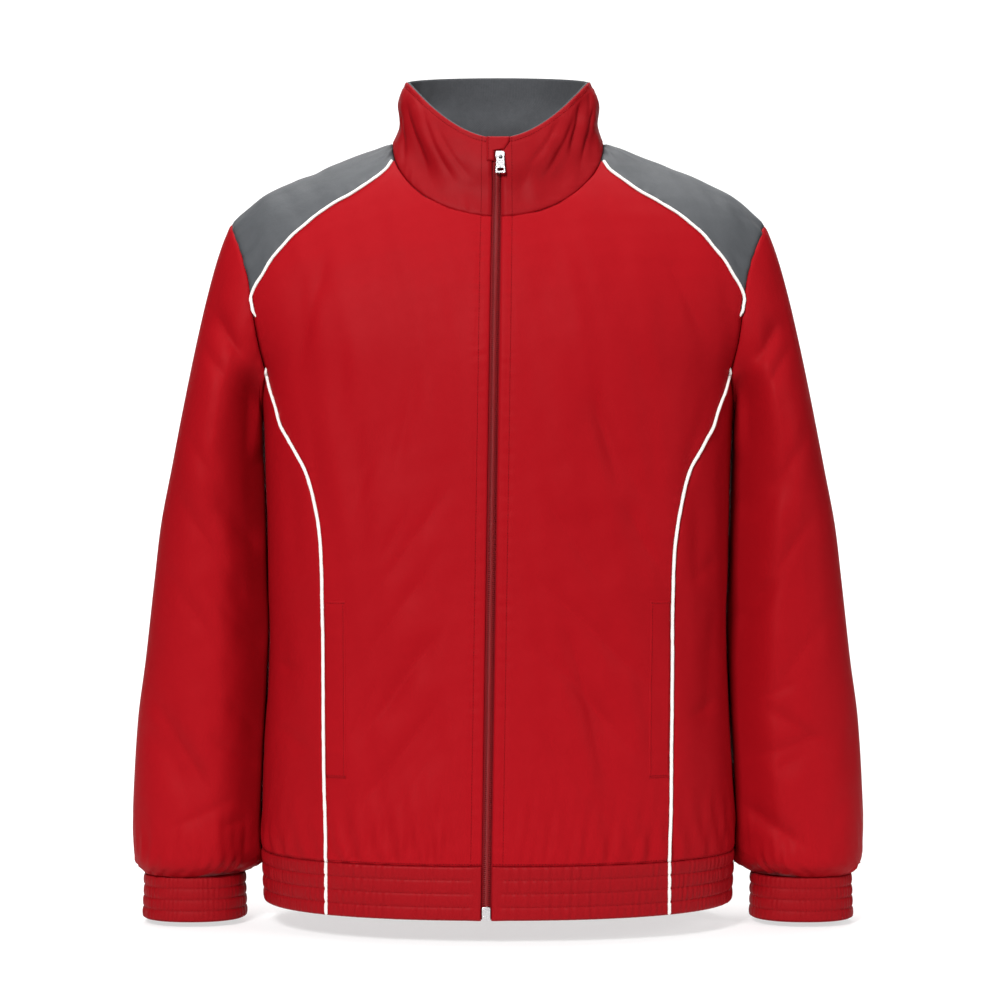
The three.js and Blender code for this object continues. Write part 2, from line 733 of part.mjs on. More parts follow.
// Side panel: from the princess seam round to the plain seam behind, hollowed under the arm.
function sideGrid(turn) {
  return lowerLevels.map((z) => {
    const row = rowAt(TORSO, 'z', z);
    const front = ringAngle(row, rowAt(PRINCESS, 'z', z).x, -1);
    const back = ringAngle(row, rowAt(BACK_SEAM, 'z', z).x, 1);
    return range(SIDE_COLUMNS).map((t) => {
      const top = NOTCH_Z - ARMPIT_DROP * Math.sin(Math.PI * t);
      const bottom = lowerLevels[0];
      const level = bottom + ((z - bottom) * (top - bottom)) / (NOTCH_Z - bottom);
      return ringSite(level, mix(front, back, t), turn);
    });
  });
}

// Half of the back, from its middle to the side seam.
function halfBackGrid(turn) {
  const tops = backTopPlaces();
  const columns = tops.length - 1;
  const grid = lowerLevels.map((z) => {
    const row = rowAt(TORSO, 'z', z);
    const seam = rowAt(BACK_SEAM, 'z', z).x;
    return tops.map((_, i) => ringSite(z, ringAngle(row, (seam * i) / columns, 1), turn));
  });
  for (const t of range(UPPER_ROWS).slice(1)) {
    grid.push(tops.map((top, i) => archSite(placeMix({ share: i / columns, turn: 1 }, top, t), turn)));
  }
  return grid;
}

function backGrid() {
  const right = halfBackGrid(-1);
  return halfBackGrid(1).map((row, j) => [...right[j].slice(1).reverse(), ...row]);
}

// Yoke: a patch between the neck seam, the armhole and its seams in front and behind.
function yokePlaces() {
  const front = yokeFrontPlaces();
  const back = yokeBackPlaces();
  const ends = [front[0], front[YOKE_COLUMNS], back[0], back[YOKE_COLUMNS]];
  return range(YOKE_ROWS).map((w) => {
    const neck = seamPlace(mix(ends[0].turn, YOKE_BACK_NECK, w));
    const arm = { share: 1, turn: mix(ends[1].turn, YOKE_BACK_TURN, w) };
    return range(YOKE_COLUMNS).map((u, i) => {
      const across = placeMix(neck, arm, u);
      const along = placeMix(front[i], back[i], w);
      const corners = placeMix(placeMix(ends[0], ends[1], u), placeMix(ends[2], ends[3], u), w);
      return {
        share: Math.min(1, across.share + along.share - corners.share),
        turn: across.turn + along.turn - corners.turn,
      };
    });
  });
}
const yokeGrid = (turn) => yokePlaces().map((row) => row.map((place) => archSite(place, turn)));

// Armhole seam as one closed loop: up the front, over the yoke, down the back, under the arm.
function armholeLoop(turn) {
  const front = pointsOf(frontGrid(turn)).slice(LOWER_ROWS).map((row) => row[row.length - 1]);
  const yoke = pointsOf(yokeGrid(turn)).slice(1).map((row) => row[YOKE_COLUMNS]);
  const back = pointsOf(halfBackGrid(turn)).slice(LOWER_ROWS, -1).map((row) => row[row.length - 1]);
  const under = pointsOf(sideGrid(turn))[LOWER_ROWS].slice(1, -1);
  return [...front, ...yoke, ...back.reverse(), ...under.reverse()];
}

// Sleeve section at a level: angle 0 is the outer edge, a quarter turn is the front.
function sleevePoint(z, angle, turn) {
  const row = rowAt(SLEEVE, 'z', z);
  const [cosine, sine] = [Math.cos(angle), Math.sin(angle)];
  const square = SLEEVE_SQUARE;
  const reach = (Math.abs(cosine) ** square + Math.abs(sine) ** square) ** (-1 / square);
  const half = (row.out - row.in) / 2;
  const x = row.out - half + half * cosine * reach;
  const y = row.mid - row.deep * sine * reach;
  const body = rowAt(TORSO, 'z', z);
  const depth = y < 0 ? body.front : body.back;
  const bodyOut = body.half * (1 - Math.min(1, Math.abs(y) / depth) ** body.square) ** (1 / body.square);
  return new THREE.Vector3(turn * Math.max(x, bodyOut + SLEEVE_CLEAR), y, z);
}

function withSleeveFolds(point, fade) {
  const row = rowAt(SLEEVE, 'z', point.z);
  const outward = new THREE.Vector3(0, (point.y - row.mid) / row.deep, 0);
  const depth = frontViewTroughs(SLEEVE_FOLDS, point, outward.y);
  const aboveCuff = smoothStep((point.z - CUFF_TOP_Z) / CUFF_FADE);
  return point.addScaledVector(outward.normalize(), -depth * fade * aboveCuff);
}

// Sleeve: a loft from the armhole seam to the first section, then the sections.
function sleeveGrid(turn) {
  const loop = armholeLoop(turn);
  const heart = loop.reduce((sum, point) => sum.add(point), new THREE.Vector3()).divideScalar(loop.length);
  const angles = loop.map((point) => Math.atan2(-(point.y - heart.y), point.z - heart.z));
  const grid = range(LOFT_ROWS).map((t) =>
    loop.map((start, i) => {
      const end = sleevePoint(SLEEVE_LOFT_Z, angles[i], turn);
      const down = (1 - Math.cos(angles[i])) / 2;
      const blend = (pair) => mix(pair.over, pair.under, down);
      const startPull = new THREE.Vector3(
        turn * blend(LOFT_PULL.outward),
        -LOFT_PULL.forward * Math.sin(angles[i]),
        -blend(LOFT_PULL.downward),
      );
      startPull.setLength(blend(LOFT_PULL.start));
      const endPull = new THREE.Vector3(0, 0, -blend(LOFT_PULL.end));
      const point = hermitePoint(start, end, startPull, endPull, t);
      return t > 0 ? withSleeveFolds(point, smoothStep(t / LOFT_FOLDS_FROM)) : point;
    }),
  );
  for (const z of SLEEVE_LEVELS) {
    grid.push(angles.map((angle) => withSleeveFolds(sleevePoint(z, angle, turn), 1)));
  }
  return grid;
}

function hermitePoint(start, end, startPull, endPull, t) {
  const s = 1 - t;
  return start
    .clone()
    .multiplyScalar(s * s * (1 + 2 * t))
    .addScaledVector(end, t * t * (1 + 2 * s))
    .addScaledVector(startPull, t * s * s)
    .addScaledVector(endPull, -t * t * s);
}

// Rows of an elastic casing: the outer face puffs between its stitch lines.
const casingRows = range(2 * CHANNELS);

// Elastic casing from a function that gives the skin point at a share of its height and a column.
// Each column carries how far its gathers stand: 1 a ridge, -1 a hollow, 0 plain.
function casingWall(columns, levels, pointAt, { wrap, hub }) {
  const heights = casingRows.map((t) => mix(levels.bottom, levels.top, t));
  const base = heights.map((z) => columns.map((column) => pointAt(z, column.at)));
  const normals = gridNormals(base, wrap, hub);
  const outer = base.map((row, j) => {
    const puff = j % 2 === 1 ? 1 : 0;
    return row.map((point, i) => {
      const gather = GATHER_DEEP * columns[i].stand * mix(GATHER_AT_STITCH, 1, puff);
      const swell = (puff * CHANNEL_PUFF + gather) * columns[i].swell;
      return point.clone().addScaledVector(normals[j][i], swell);
    });
  });
  const inner = [0, base.length - 1].map((j) =>
    base[j].map((point, i) => point.clone().addScaledVector(normals[j][i], -columns[i].thick)),
  );
  return closedBody(outer, inner, wrap);
}

// Columns of a gathered stretch, with plain stretches at its ends.
function gatherColumns(start, end, gathers, plain) {
  const columns = [{ at: start, stand: 0, swell: 1, thick: CASING }];
  const first = start + plain.start;
  const length = end - plain.end - first;
  for (let k = 0; k < 2 * gathers; k += 1) {
    const uneven = GATHER_UNEVEN * Math.sin(GATHER_DRIFT * k);
    const at = first + (length * (k + 0.5 + uneven)) / (2 * gathers);
    columns.push({ at, stand: k % 2 ? -1 : 1, swell: 1, thick: CASING });
  }
  columns.push({ at: end, stand: 0, swell: 1, thick: CASING });
  return columns;
}

const HEM_RADIUS = 180;
const hemLevels = { bottom: HEM_BOTTOM_Z, top: HEM_TOP_Z - SEAM_GAP / 2 };

// Front stretch of the hem, from the zip to the side.
function frontHem(turn) {
  const plain = { start: PLAIN_AT_ZIP / HEM_RADIUS, end: 0.01 };
  const trim = SEAM_GAP / 2 / HEM_RADIUS;
  const columns = gatherColumns(0, Math.PI / 2 - trim, FRONT_HEM_GATHERS, plain);
  columns.splice(1, 0, { at: TAPE_COVER / HEM_RADIUS, stand: 0, swell: 0, thick: CLOTH });
  const piping = ringAngle(rowAt(TORSO, 'z', HEM_TOP_Z), rowAt(PRINCESS, 'z', HEM_TOP_Z).x, -1);
  for (const column of columns) {
    const away = Math.abs(column.at - piping) * HEM_RADIUS;
    column.stand *= smoothStep((away - 2 * PIPING.half) / PLAIN_AT_PIPING);
    const fromZip = column.at * HEM_RADIUS;
    column.swell = smoothStep((fromZip - FLAT_AT_ZIP) / (PLAIN_AT_ZIP - FLAT_AT_ZIP));
    if (fromZip <= TAPE_COVER) column.thick = CLOTH;
  }
  const pointAt = (z, angle) => {
    const row = rowAt(TORSO, 'z', z);
    const edge = ringAngle(row, zipEdge(z, turn), -1);
    const point = ringPoint(z, mix(edge, Math.PI / 2, angle / (Math.PI / 2)));
    point.x *= turn;
    return point;
  };
  return casingWall(columns, hemLevels, pointAt, { wrap: false, hub: BODY_HUB });
}

// Back stretch of the hem, from side to side.
function backHem() {
  const trim = SEAM_GAP / 2 / HEM_RADIUS;
  const plain = { start: 0.01, end: 0.01 };
  const columns = gatherColumns(Math.PI / 2 + trim, 1.5 * Math.PI - trim, BACK_HEM_GATHERS, plain);
  const pointAt = (z, angle) => {
    const beyond = angle > Math.PI;
    const point = ringPoint(z, beyond ? 2 * Math.PI - angle : angle);
    if (beyond) point.x *= -1;
    return point;
  };
  return casingWall(columns, hemLevels, pointAt, { wrap: false, hub: BODY_HUB });
}

// Elastic cuff: a ring of gathers below the blousing sleeve.
function cuffWall(turn) {
  const columns = range(2 * CUFF_GATHERS)
    .slice(1)
    .map((t, k) => ({ at: 2 * Math.PI * t, stand: k % 2 ? -1 : 1, swell: 1, thick: CASING }));
  const pointAt = (z, angle) => {
    const grow = CUFF.bottomGrow * ((CUFF_TOP_Z - z) / (CUFF_TOP_Z - CUFF_BOTTOM_Z));
    const [cosine, sine] = [Math.cos(angle), Math.sin(angle)];
    const reach = (Math.abs(cosine) ** CUFF.square + Math.abs(sine) ** CUFF.square) ** (-1 / CUFF.square);
    const half = (CUFF.out - CUFF.in) / 2 - CHANNEL_PUFF + grow;
    const deep = CUFF.deep - CHANNEL_PUFF + grow;
    const x = (CUFF.out + CUFF.in) / 2 + half * cosine * reach;
    return new THREE.Vector3(turn * x, CUFF.mid - deep * sine * reach, z);
  };
  const levels = { bottom: CUFF_BOTTOM_Z, top: CUFF_TOP_Z - SEAM_GAP };
  const middle = (turn * (CUFF.out + CUFF.in)) / 2;
  const hub = new THREE.Vector3(middle, CUFF.mid, (CUFF_TOP_Z + CUFF_BOTTOM_Z) / 2);
  return casingWall(columns, levels, pointAt, { wrap: true, hub });
}

// Feet of the collar's columns on the neck seam, from the zip to the middle behind.
function collarFeet(turn) {
  const front = frontNeckTurns(turn).map(neckPlace);
  const start = neckPlace(yokeStartAngle).turn;
  const side = range(YOKE_ROWS).slice(1).map((t) => seamPlace(mix(start, YOKE_BACK_NECK, t)));
  const back = backTopPlaces().slice(0, NECK_COLUMNS).reverse();
  return [...front, ...side, ...back].map((place) => {
    const foot = archPoint(place.share, place.turn);
    foot.x *= turn;
    return foot;
  });
}

// Point of the collar over a foot on the neck seam, at a share of the height.
function collarPoint(foot, share) {
  const seamDepth = foot.y < 0 ? NECK_FRONT_DEPTH : NECK_BACK_DEPTH;
  const angle = Math.atan2(foot.x / NECK_HALF, -foot.y / seamDepth);
  const [sine, cosine] = [Math.sin(angle), Math.cos(angle)];
  const depth = cosine > 0 ? RIM_FRONT_DEPTH : RIM_BACK_DEPTH;
  const frontRise = (RIM_SIDE_Z - RIM_FRONT_Z) * Math.abs(sine) ** RIM_CURVE;
  const z = cosine > 0 ? RIM_FRONT_Z + frontRise : mix(RIM_SIDE_Z, RIM_BACK_Z, -cosine);
  const rim = new THREE.Vector3(RIM_HALF * sine, -depth * cosine, z);
  const outward = new THREE.Vector3(sine, -cosine, 0);
  const swell = rowAt(COLLAR_SWELL, 'share', share).out;
  let trough = 0;
  for (const fold of COLLAR_FOLDS) {
    const flat = {
      across0: radians(fold.turn0) * COLLAR_ASPECT,
      across1: radians(fold.turn1) * COLLAR_ASPECT,
      along0: fold.share0,
      along1: fold.share1,
    };
    trough += troughDepth({ ...flat, wide: fold.wide, deep: fold.deep }, angle * COLLAR_ASPECT, share);
  }
  return foot.clone().lerp(rim, share).addScaledVector(outward, swell - trough);
}

function collarGrid(top) {
  const feet = [...collarFeet(-1), ...collarFeet(1).reverse().slice(1)];
  return range(COLLAR_ROWS).map((t) => feet.map((foot) => collarPoint(foot, t < 1 ? t : top)));
}

// The lining runs from one edge of the zip tape to the other and shows a little over the rim.
const liningGrid = () => collarGrid(1 + LINING_SHOWS / COLLAR_HEIGHT).map((row) => row.slice(1, -1));

// Point of the front of the collar that lies x across at the height z.
function collarPlace(x, z) {
  let footX = x;
  let share = 0.5;
  let point = new THREE.Vector3();
  for (let step = 0; step < COLLAR_STEPS; step += 1) {
    const footZ = -NECK_FRONT_DROP * Math.sqrt(1 - (footX / NECK_HALF) ** 2);
    const place = archPlace(Math.abs(footX), footZ, -1);
    const foot = archPoint(place.share, place.turn);
    foot.x = footX;
    point = collarPoint(foot, share);
    footX += x - point.x;
    share += (z - point.z) / COLLAR_HEIGHT;
  }
  return point;
}

// A closed bar through a row of section loops with the same number of points.
function barBody(loops) {
  const count = loops[0].length;
  const positions = loops.flat().flatMap((point) => [point.x, point.y, point.z]);
  const faces = [];
  for (let j = 0; j < loops.length - 1; j += 1) {
    for (let i = 0; i < count; i += 1) {
      const [a, b] = [j * count + i, j * count + ((i + 1) % count)];
      faces.push(a, b, b + count, a, b + count, a + count);
    }
  }
  const cap = THREE.ShapeUtils.triangulateShape(SECTION_FLAT[count], []);
  const start = (loops.length - 1) * count;
  for (const [a, b, c] of cap) {
    faces.push(c, b, a, start + a, start + b, start + c);
  }
  return solidGeometry(positions, faces);
}

// Sections of the piping and of the zip tape: distance across and height over the skin
const PIPING_SECTION = [
  { across: -PIPING.half, out: PIPING.foot },
  { across: PIPING.half, out: PIPING.foot },
  { across: PIPING.half, out: PIPING.shoulder },
  { across: PIPING.crownHalf, out: PIPING.crown },
  { across: -PIPING.crownHalf, out: PIPING.crown },
  { across: -PIPING.half, out: PIPING.shoulder },
];
const tapeFace = -CLOTH - SEAM_GAP;
const TAPE_SECTION = [
  { across: -TAPE_HALF, out: tapeFace - TAPE_THICK },
  { across: TAPE_HALF, out: tapeFace - TAPE_THICK },
  { across: TAPE_HALF, out: tapeFace },
  { across: CHAIN_HALF, out: tapeFace },
  { across: CHAIN_TOP * CHAIN_HALF, out: -CHAIN_UNDER_SKIN },
  { across: -CHAIN_TOP * CHAIN_HALF, out: -CHAIN_UNDER_SKIN },
  { across: -CHAIN_HALF, out: tapeFace },
  { across: -TAPE_HALF, out: tapeFace },
];
const flatOutline = (section) => section.map((corner) => new THREE.Vector2(corner.across, corner.out));
const SECTION_FLAT = { 6: flatOutline(PIPING_SECTION), 8: flatOutline(TAPE_SECTION) };

// Seam path of the piping: yoke seam, armhole, princess seam and hem.
function pipingPath(turn) {
  const grid = frontGrid(turn);
  const top = grid.length - 1;
  const last = grid[0].length - 1;
  const path = [];
  for (let i = NECK_COLUMNS; i < last; i += 1) {
    path.push({ ...grid[top][i], lean: 0 });
  }
  for (let j = top; j >= 0; j -= 1) {
    path.push({ ...grid[j][last], lean: clamp((j - LOWER_ROWS + 2) / 2, 0, 1) });
  }
  path[0].point = path[0].point.clone().lerp(path[1].point, PIPING.startIn);
  const foot = path[path.length - 1].normal;
  for (const [k, t] of casingRows.slice(0, -1).reverse().entries()) {
    const z = mix(hemLevels.bottom, hemLevels.top, t);
    const angle = ringAngle(rowAt(TORSO, 'z', z), rowAt(PRINCESS, 'z', z).x, -1);
    const point = ringPoint(z, angle);
    point.x *= turn;
    point.addScaledVector(foot, k % 2 ? 0 : CHANNEL_PUFF);
    path.push({ point, normal: foot, lean: 0 });
  }
  return path;
}

function pipingBody(turn) {
  const path = pipingPath(turn);
  const loops = path.map((place, k) => {
    const before = path[Math.max(k - 1, 0)].point;
    const after = path[Math.min(k + 1, path.length - 1)].point;
    const along = after.clone().sub(before).normalize();
    const across = along.clone().cross(place.normal).normalize();
    if (across.x * turn < 0) across.negate();
    const normal = across.clone().cross(along).normalize();
    if (normal.dot(place.normal) < 0) normal.negate();
    return PIPING_SECTION.map((corner) =>
      place.point
        .clone()
        .addScaledVector(across, corner.across - place.lean * PIPING.armholeLean)
        .addScaledVector(normal, corner.out),
    );
  });
  return barBody(loops);
}

// Pocket welt: a strip on the front panel beside the princess seam.
function pocketGrid(turn) {
  return range(6).map((s) => {
    const z = mix(POCKET.bottom, POCKET.top, s);
    const row = rowAt(TORSO, 'z', z);
    const seam = rowAt(PRINCESS, 'z', z).x - POCKET.fromSeam;
    return range(3).map((t) => ringSite(z, ringAngle(row, seam - POCKET.wide * (1 - t), -1), turn));
  });
}

// Zip tape and chain: rows up the middle of the front and of the collar.
function zipTapeBody() {
  const middle = (z, across) => {
    const x = zipMiddle(z) + across;
    if (z <= NOTCH_Z) {
      const row = rowAt(TORSO, 'z', z);
      const point = ringPoint(z, ringAngle(row, x, -1));
      point.x = x;
      return point;
    }
    const place = archPlace(Math.abs(x), z, -1);
    const point = archPoint(place.share, place.turn);
    point.x = x;
    return point;
  };
  const centre = frontGrid(1).map((row) => row[0].point.z);
  const levels = [HEM_BOTTOM_Z + 1, -676, ...centre.slice(0, -1), -NECK_FRONT_DROP];
  const rows = levels.map((z) => (across) => middle(z, across));
  for (const t of range(COLLAR_ROWS).slice(1)) {
    const z = mix(-NECK_FRONT_DROP, RIM_FRONT_Z, Math.min(t, TAPE_ENDS_AT));
    rows.push((across) => collarPlace(zipMiddle(z) + across, z));
  }
  const centres = rows.map((row) => row(0));
  const loops = rows.map((row, k) => {
    const before = centres[Math.max(k - 1, 0)];
    const after = centres[Math.min(k + 1, rows.length - 1)];
    const along = after.clone().sub(before).normalize();
    const normal = new THREE.Vector3(0, -along.z, along.y).normalize();
    return TAPE_SECTION.map((corner) => row(corner.across).addScaledVector(normal, corner.out));
  });
  return barBody(loops);
}

// Zip garage: a flap over the top of the chain, cut away beside the slider.
function garageGrid() {
  return GARAGE.map((row) => range(4).map((t) => collarPlace(mix(row.from, row.to, t), row.z)));
}

// Turns a shape's own axes into the two given axes and their cross product.
function placedExtrusion(shape, depth, { across, up, at }) {
  const geometry = new THREE.ExtrudeGeometry(shape, { depth, bevelEnabled: false, curveSegments: 5 });
  const out = across.clone().cross(up);
  geometry.applyMatrix4(new THREE.Matrix4().makeBasis(across, up, out).setPosition(at));
  return geometry;
}

const MERGE_WITHIN = 1e-4;

function toSolid(geometry) {
  const bare = geometry.clone();
  bare.deleteAttribute('normal');
  bare.deleteAttribute('uv');
  const merged = mergeVertices(bare, MERGE_WITHIN);
  const mesh = new wasm.Mesh({
    numProp: 3,
    vertProperties: merged.attributes.position.array,
    triVerts: Uint32Array.from(merged.index.array),
  });
  return new wasm.Manifold(mesh);
}

function fromSolid(solid) {
  const mesh = solid.getMesh();
  const geometry = new THREE.BufferGeometry();
  geometry.setAttribute('position', new THREE.Float32BufferAttribute(mesh.vertProperties, 3));
  geometry.setIndex(Array.from(mesh.triVerts));
  geometry.computeVertexNormals();
  return geometry;
}

function polygon(corners) {
  return new THREE.Shape(corners.map(([x, y]) => new THREE.Vector2(x, y)));
}

function roundedBox(width, height, radius) {
  const [w, h] = [width / 2, height / 2];
  const shape = new THREE.Shape();
  shape.absarc(w - radius, h - radius, radius, 0, Math.PI / 2);
  shape.absarc(-w + radius, h - radius, radius, Math.PI / 2, Math.PI);
  shape.absarc(-w + radius, -h + radius, radius, Math.PI, 1.5 * Math.PI);
  shape.absarc(w - radius, -h + radius, radius, 1.5 * Math.PI, 2 * Math.PI);
  return shape;
}

// Frame of the slider: across the zip, up along the collar and out from it.
const ACROSS = new THREE.Vector3(1, 0, 0);
const UP_COLLAR = new THREE.Vector3(0, 15, 72).normalize();
const OFF_COLLAR = ACROSS.clone().cross(UP_COLLAR);

function sliderAt(up, out) {
  const base = collarPlace(0, SLIDER.z);
  base.x = SLIDER.x;
  return base.addScaledVector(UP_COLLAR, up).addScaledVector(OFF_COLLAR, out);
}

// Slider: a plate over the lips with a keel between them, and the bridge of the pull tab.
function sliderBody() {
  const { half, length, face, edgeCut, faceCut, keelHalf, overLips, overChain } = SLIDER;
  const profile = polygon([
    [-keelHalf, overChain],
    [keelHalf, overChain],
    [keelHalf, overLips],
    [half, overLips],
    [half, face - edgeCut],
    [half - faceCut, face],
    [faceCut - half, face],
    [-half, face - edgeCut],
    [-half, overLips],
    [-keelHalf, overLips],
  ]);
  const top = sliderAt(length / 2, 0);
  const plate = placedExtrusion(profile, length, { across: ACROSS, up: OFF_COLLAR, at: top });
  const arch = new THREE.Shape();
  const rise = BRIDGE.pivot;
  const sunk = SLIDER.face - BRIDGE.sunk;
  arch.moveTo(BRIDGE.outer, sunk);
  arch.lineTo(BRIDGE.outer, rise);
  arch.absarc(0, rise, BRIDGE.outer, 0, Math.PI, false);
  arch.lineTo(-BRIDGE.outer, sunk);
  arch.lineTo(-BRIDGE.inner, sunk);
  arch.lineTo(-BRIDGE.inner, rise);
  arch.absarc(0, rise, BRIDGE.inner, Math.PI, 0, true);
  arch.lineTo(BRIDGE.inner, sunk);
  const start = sliderAt(0, 0).addScaledVector(ACROSS, -BRIDGE.wide / 2);
  const bridge = placedExtrusion(arch, BRIDGE.wide, { across: UP_COLLAR, up: OFF_COLLAR, at: start });
  return fromSolid(toSolid(plate).add(toSolid(bridge)));
}

// Pull tab: a plate with a bar and window at its top and a slot near its foot.
function pullBody() {
  const { topHalf, footHalf, barTop, foot, thick, corner } = PULL;
  const outline = new THREE.Shape();
  outline.moveTo(-topHalf, barTop);
  outline.lineTo(-footHalf, foot + corner);
  outline.quadraticCurveTo(-footHalf, foot, corner - footHalf, foot);
  outline.lineTo(footHalf - corner, foot);
  outline.quadraticCurveTo(footHalf, foot, footHalf, foot + corner);
  outline.lineTo(topHalf, barTop);
  const hole = (half, top, bottom) =>
    new THREE.Path([
      new THREE.Vector2(-half, bottom),
      new THREE.Vector2(-half, top),
      new THREE.Vector2(half, top),
      new THREE.Vector2(half, bottom),
    ]);
  outline.holes.push(hole(PULL.windowHalf, PULL.windowTop, PULL.windowFoot));
  outline.holes.push(hole(PULL.slotHalf, PULL.slotTop, PULL.slotFoot));
  const at = sliderAt(0, BRIDGE.pivot - thick / 2).addScaledVector(ACROSS, PULL.shift);
  return placedExtrusion(outline, thick, { across: ACROSS, up: UP_COLLAR, at });
}

function zipBoxBody() {
  const z = HEM_BOTTOM_Z + ZIP_BOX.fromFoot + ZIP_BOX.height / 2;
  const at = ringPoint(z, 0);
  at.x = zipMiddle(z);
  at.y -= ZIP_BOX.overSkin;
  const up = new THREE.Vector3(0, 0, 1);
  const shape = roundedBox(ZIP_BOX.width, ZIP_BOX.height, ZIP_BOX.corner);
  return placedExtrusion(shape, ZIP_BOX.thick, { across: ACROSS, up, at });
}

for (const { name, turn } of SIDES) {
  addPiece(`front_${name}`, bodyWall(frontGrid(turn), ['sides', 'top']), MATERIALS.red);
  addPiece(`side_${name}`, bodyWall(sideGrid(turn), ['sides', 'top']), MATERIALS.red);
  addPiece(`yoke_${name}`, bodyWall(yokeGrid(turn), ['sides', 'top', 'bottom']), MATERIALS.grey);
  const sleeve = trimEdges(sleeveGrid(turn), SLEEVE_TRIM, ['bottom']);
  addPiece(`sleeve_${name}`, clothWall(sleeve, { hub: SLEEVE_HUB(turn), wrap: true }), MATERIALS.red);
  addPiece(`cuff_${name}`, cuffWall(turn), MATERIALS.red);
  addPiece(`hem_front_${name}`, frontHem(turn), MATERIALS.red);
  addPiece(`piping_${name}`, pipingBody(turn), MATERIALS.white);
  const welt = { outer: SEAM_GAP + POCKET.thick, inner: SEAM_GAP };
  addPiece(`pocket_welt_${name}`, bodyWall(pocketGrid(turn), [], welt), MATERIALS.red);
}
addPiece('back', bodyWall(backGrid(), ['sides', 'top']), MATERIALS.red);
addPiece('hem_back', backHem(), MATERIALS.red);

const collarWall = { hub: COLLAR_HUB };
addPiece('collar', clothWall(trimEdges(collarGrid(1), COLLAR_TRIM, ['bottom']), collarWall), MATERIALS.red);
const liningFace = -CLOTH - SEAM_GAP;
const liningWall = { hub: COLLAR_HUB, outer: liningFace, inner: liningFace - LINING_THICK };
const lining = trimEdges(liningGrid(), SEAM_GAP, ['bottom']);
addPiece('collar_lining', clothWall(lining, liningWall), MATERIALS.lining);
const garageWall = { hub: COLLAR_HUB, outer: SEAM_GAP + GARAGE_THICK, inner: SEAM_GAP };
addPiece('zip_garage', clothWall(garageGrid(), garageWall), MATERIALS.red);

addPiece('zip_tape', zipTapeBody(), MATERIALS.zipTape);
addPiece('zip_slider', sliderBody(), MATERIALS.silver);
addPiece('zip_pull', pullBody(), MATERIALS.silver);
addPiece('zip_box', zipBoxBody(), MATERIALS.silver);

export default jacket;
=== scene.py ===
"""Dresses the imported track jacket: cloth, gathers, stitching, piping, zip, light and camera."""

from __future__ import annotations

import logging
import math
from dataclasses import dataclass, field
from enum import Enum
from typing import Iterable, Sequence

import bmesh
import bpy
import numpy as np
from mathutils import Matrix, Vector

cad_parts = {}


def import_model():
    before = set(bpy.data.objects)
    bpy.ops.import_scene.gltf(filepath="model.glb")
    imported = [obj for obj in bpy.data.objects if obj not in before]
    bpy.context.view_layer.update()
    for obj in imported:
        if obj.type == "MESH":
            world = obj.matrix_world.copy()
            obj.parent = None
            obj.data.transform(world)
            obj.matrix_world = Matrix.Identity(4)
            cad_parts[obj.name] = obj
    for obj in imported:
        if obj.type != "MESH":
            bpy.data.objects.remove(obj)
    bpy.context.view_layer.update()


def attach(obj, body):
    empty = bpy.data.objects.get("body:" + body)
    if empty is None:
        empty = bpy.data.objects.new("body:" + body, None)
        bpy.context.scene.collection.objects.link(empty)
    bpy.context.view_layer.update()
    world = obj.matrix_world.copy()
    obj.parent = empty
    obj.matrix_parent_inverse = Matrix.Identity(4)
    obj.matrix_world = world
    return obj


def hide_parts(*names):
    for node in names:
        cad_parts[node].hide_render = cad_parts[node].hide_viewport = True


log = logging.getLogger("jacket")

MM = 0.001
Array = np.ndarray


class Side(Enum):
    """The wearer's side, with the sign of X on it."""

    RIGHT = -1
    LEFT = 1

    @property
    def word(self) -> str:
        """The side's name in node names."""
        return self.name.lower()


class Face(Enum):
    """Front or back of the jacket, with the sign of Y on it."""

    FRONT = -1
    BACK = 1


def mix(a, b, t):
    """Blend from a at 0 to b at 1."""
    return a + (b - a) * t


def smooth_step(t) -> Array:
    """Ease from 0 to 1 as t goes from 0 to 1."""
    s = np.clip(t, 0.0, 1.0)
    return s * s * (3 - 2 * s)


def unit(vectors: Array) -> Array:
    """Vectors of length one along the last axis."""
    return vectors / np.maximum(np.linalg.norm(vectors, axis=-1, keepdims=True), 1e-9)


def stack(x, y, z) -> Array:
    """Points from broadcast coordinates."""
    return np.stack(np.broadcast_arrays(x, y, z), axis=-1).astype(float)


@dataclass(frozen=True)
class Profile:
    """A smooth curve through a short table whose first column is the key."""

    columns: tuple[str, ...]
    rows: tuple[tuple[float, ...], ...]

    def read(self, at) -> dict[str, Array]:
        """Read every column at the key values.

        Args:
            at: key values, of any shape.
        Returns:
            One array for each column, the key among them.
        """
        table = np.array(self.rows, float)
        keys = table[:, 0]
        if keys[-1] < keys[0]:
            table = table[::-1]
            keys = table[:, 0]
        at = np.clip(np.asarray(at, float), keys[0], keys[-1])
        i = np.clip(np.searchsorted(keys, at, side="right") - 1, 0, len(keys) - 2)
        before = np.maximum(np.arange(len(keys)) - 1, 0)
        after = np.minimum(np.arange(len(keys)) + 1, len(keys) - 1)
        slopes = (table[after] - table[before]) / (keys[after] - keys[before])[:, None]
        span = keys[i + 1] - keys[i]
        t = (at - keys[i]) / span
        result = {}
        for k, name in enumerate(self.columns):
            rise = table[i + 1, k] - table[i, k]
            bend = (slopes[i, k] * span - rise) * (1 - t) + (rise - slopes[i + 1, k] * span) * t
            result[name] = table[i, k] + rise * t + t * (1 - t) * bend
        return result


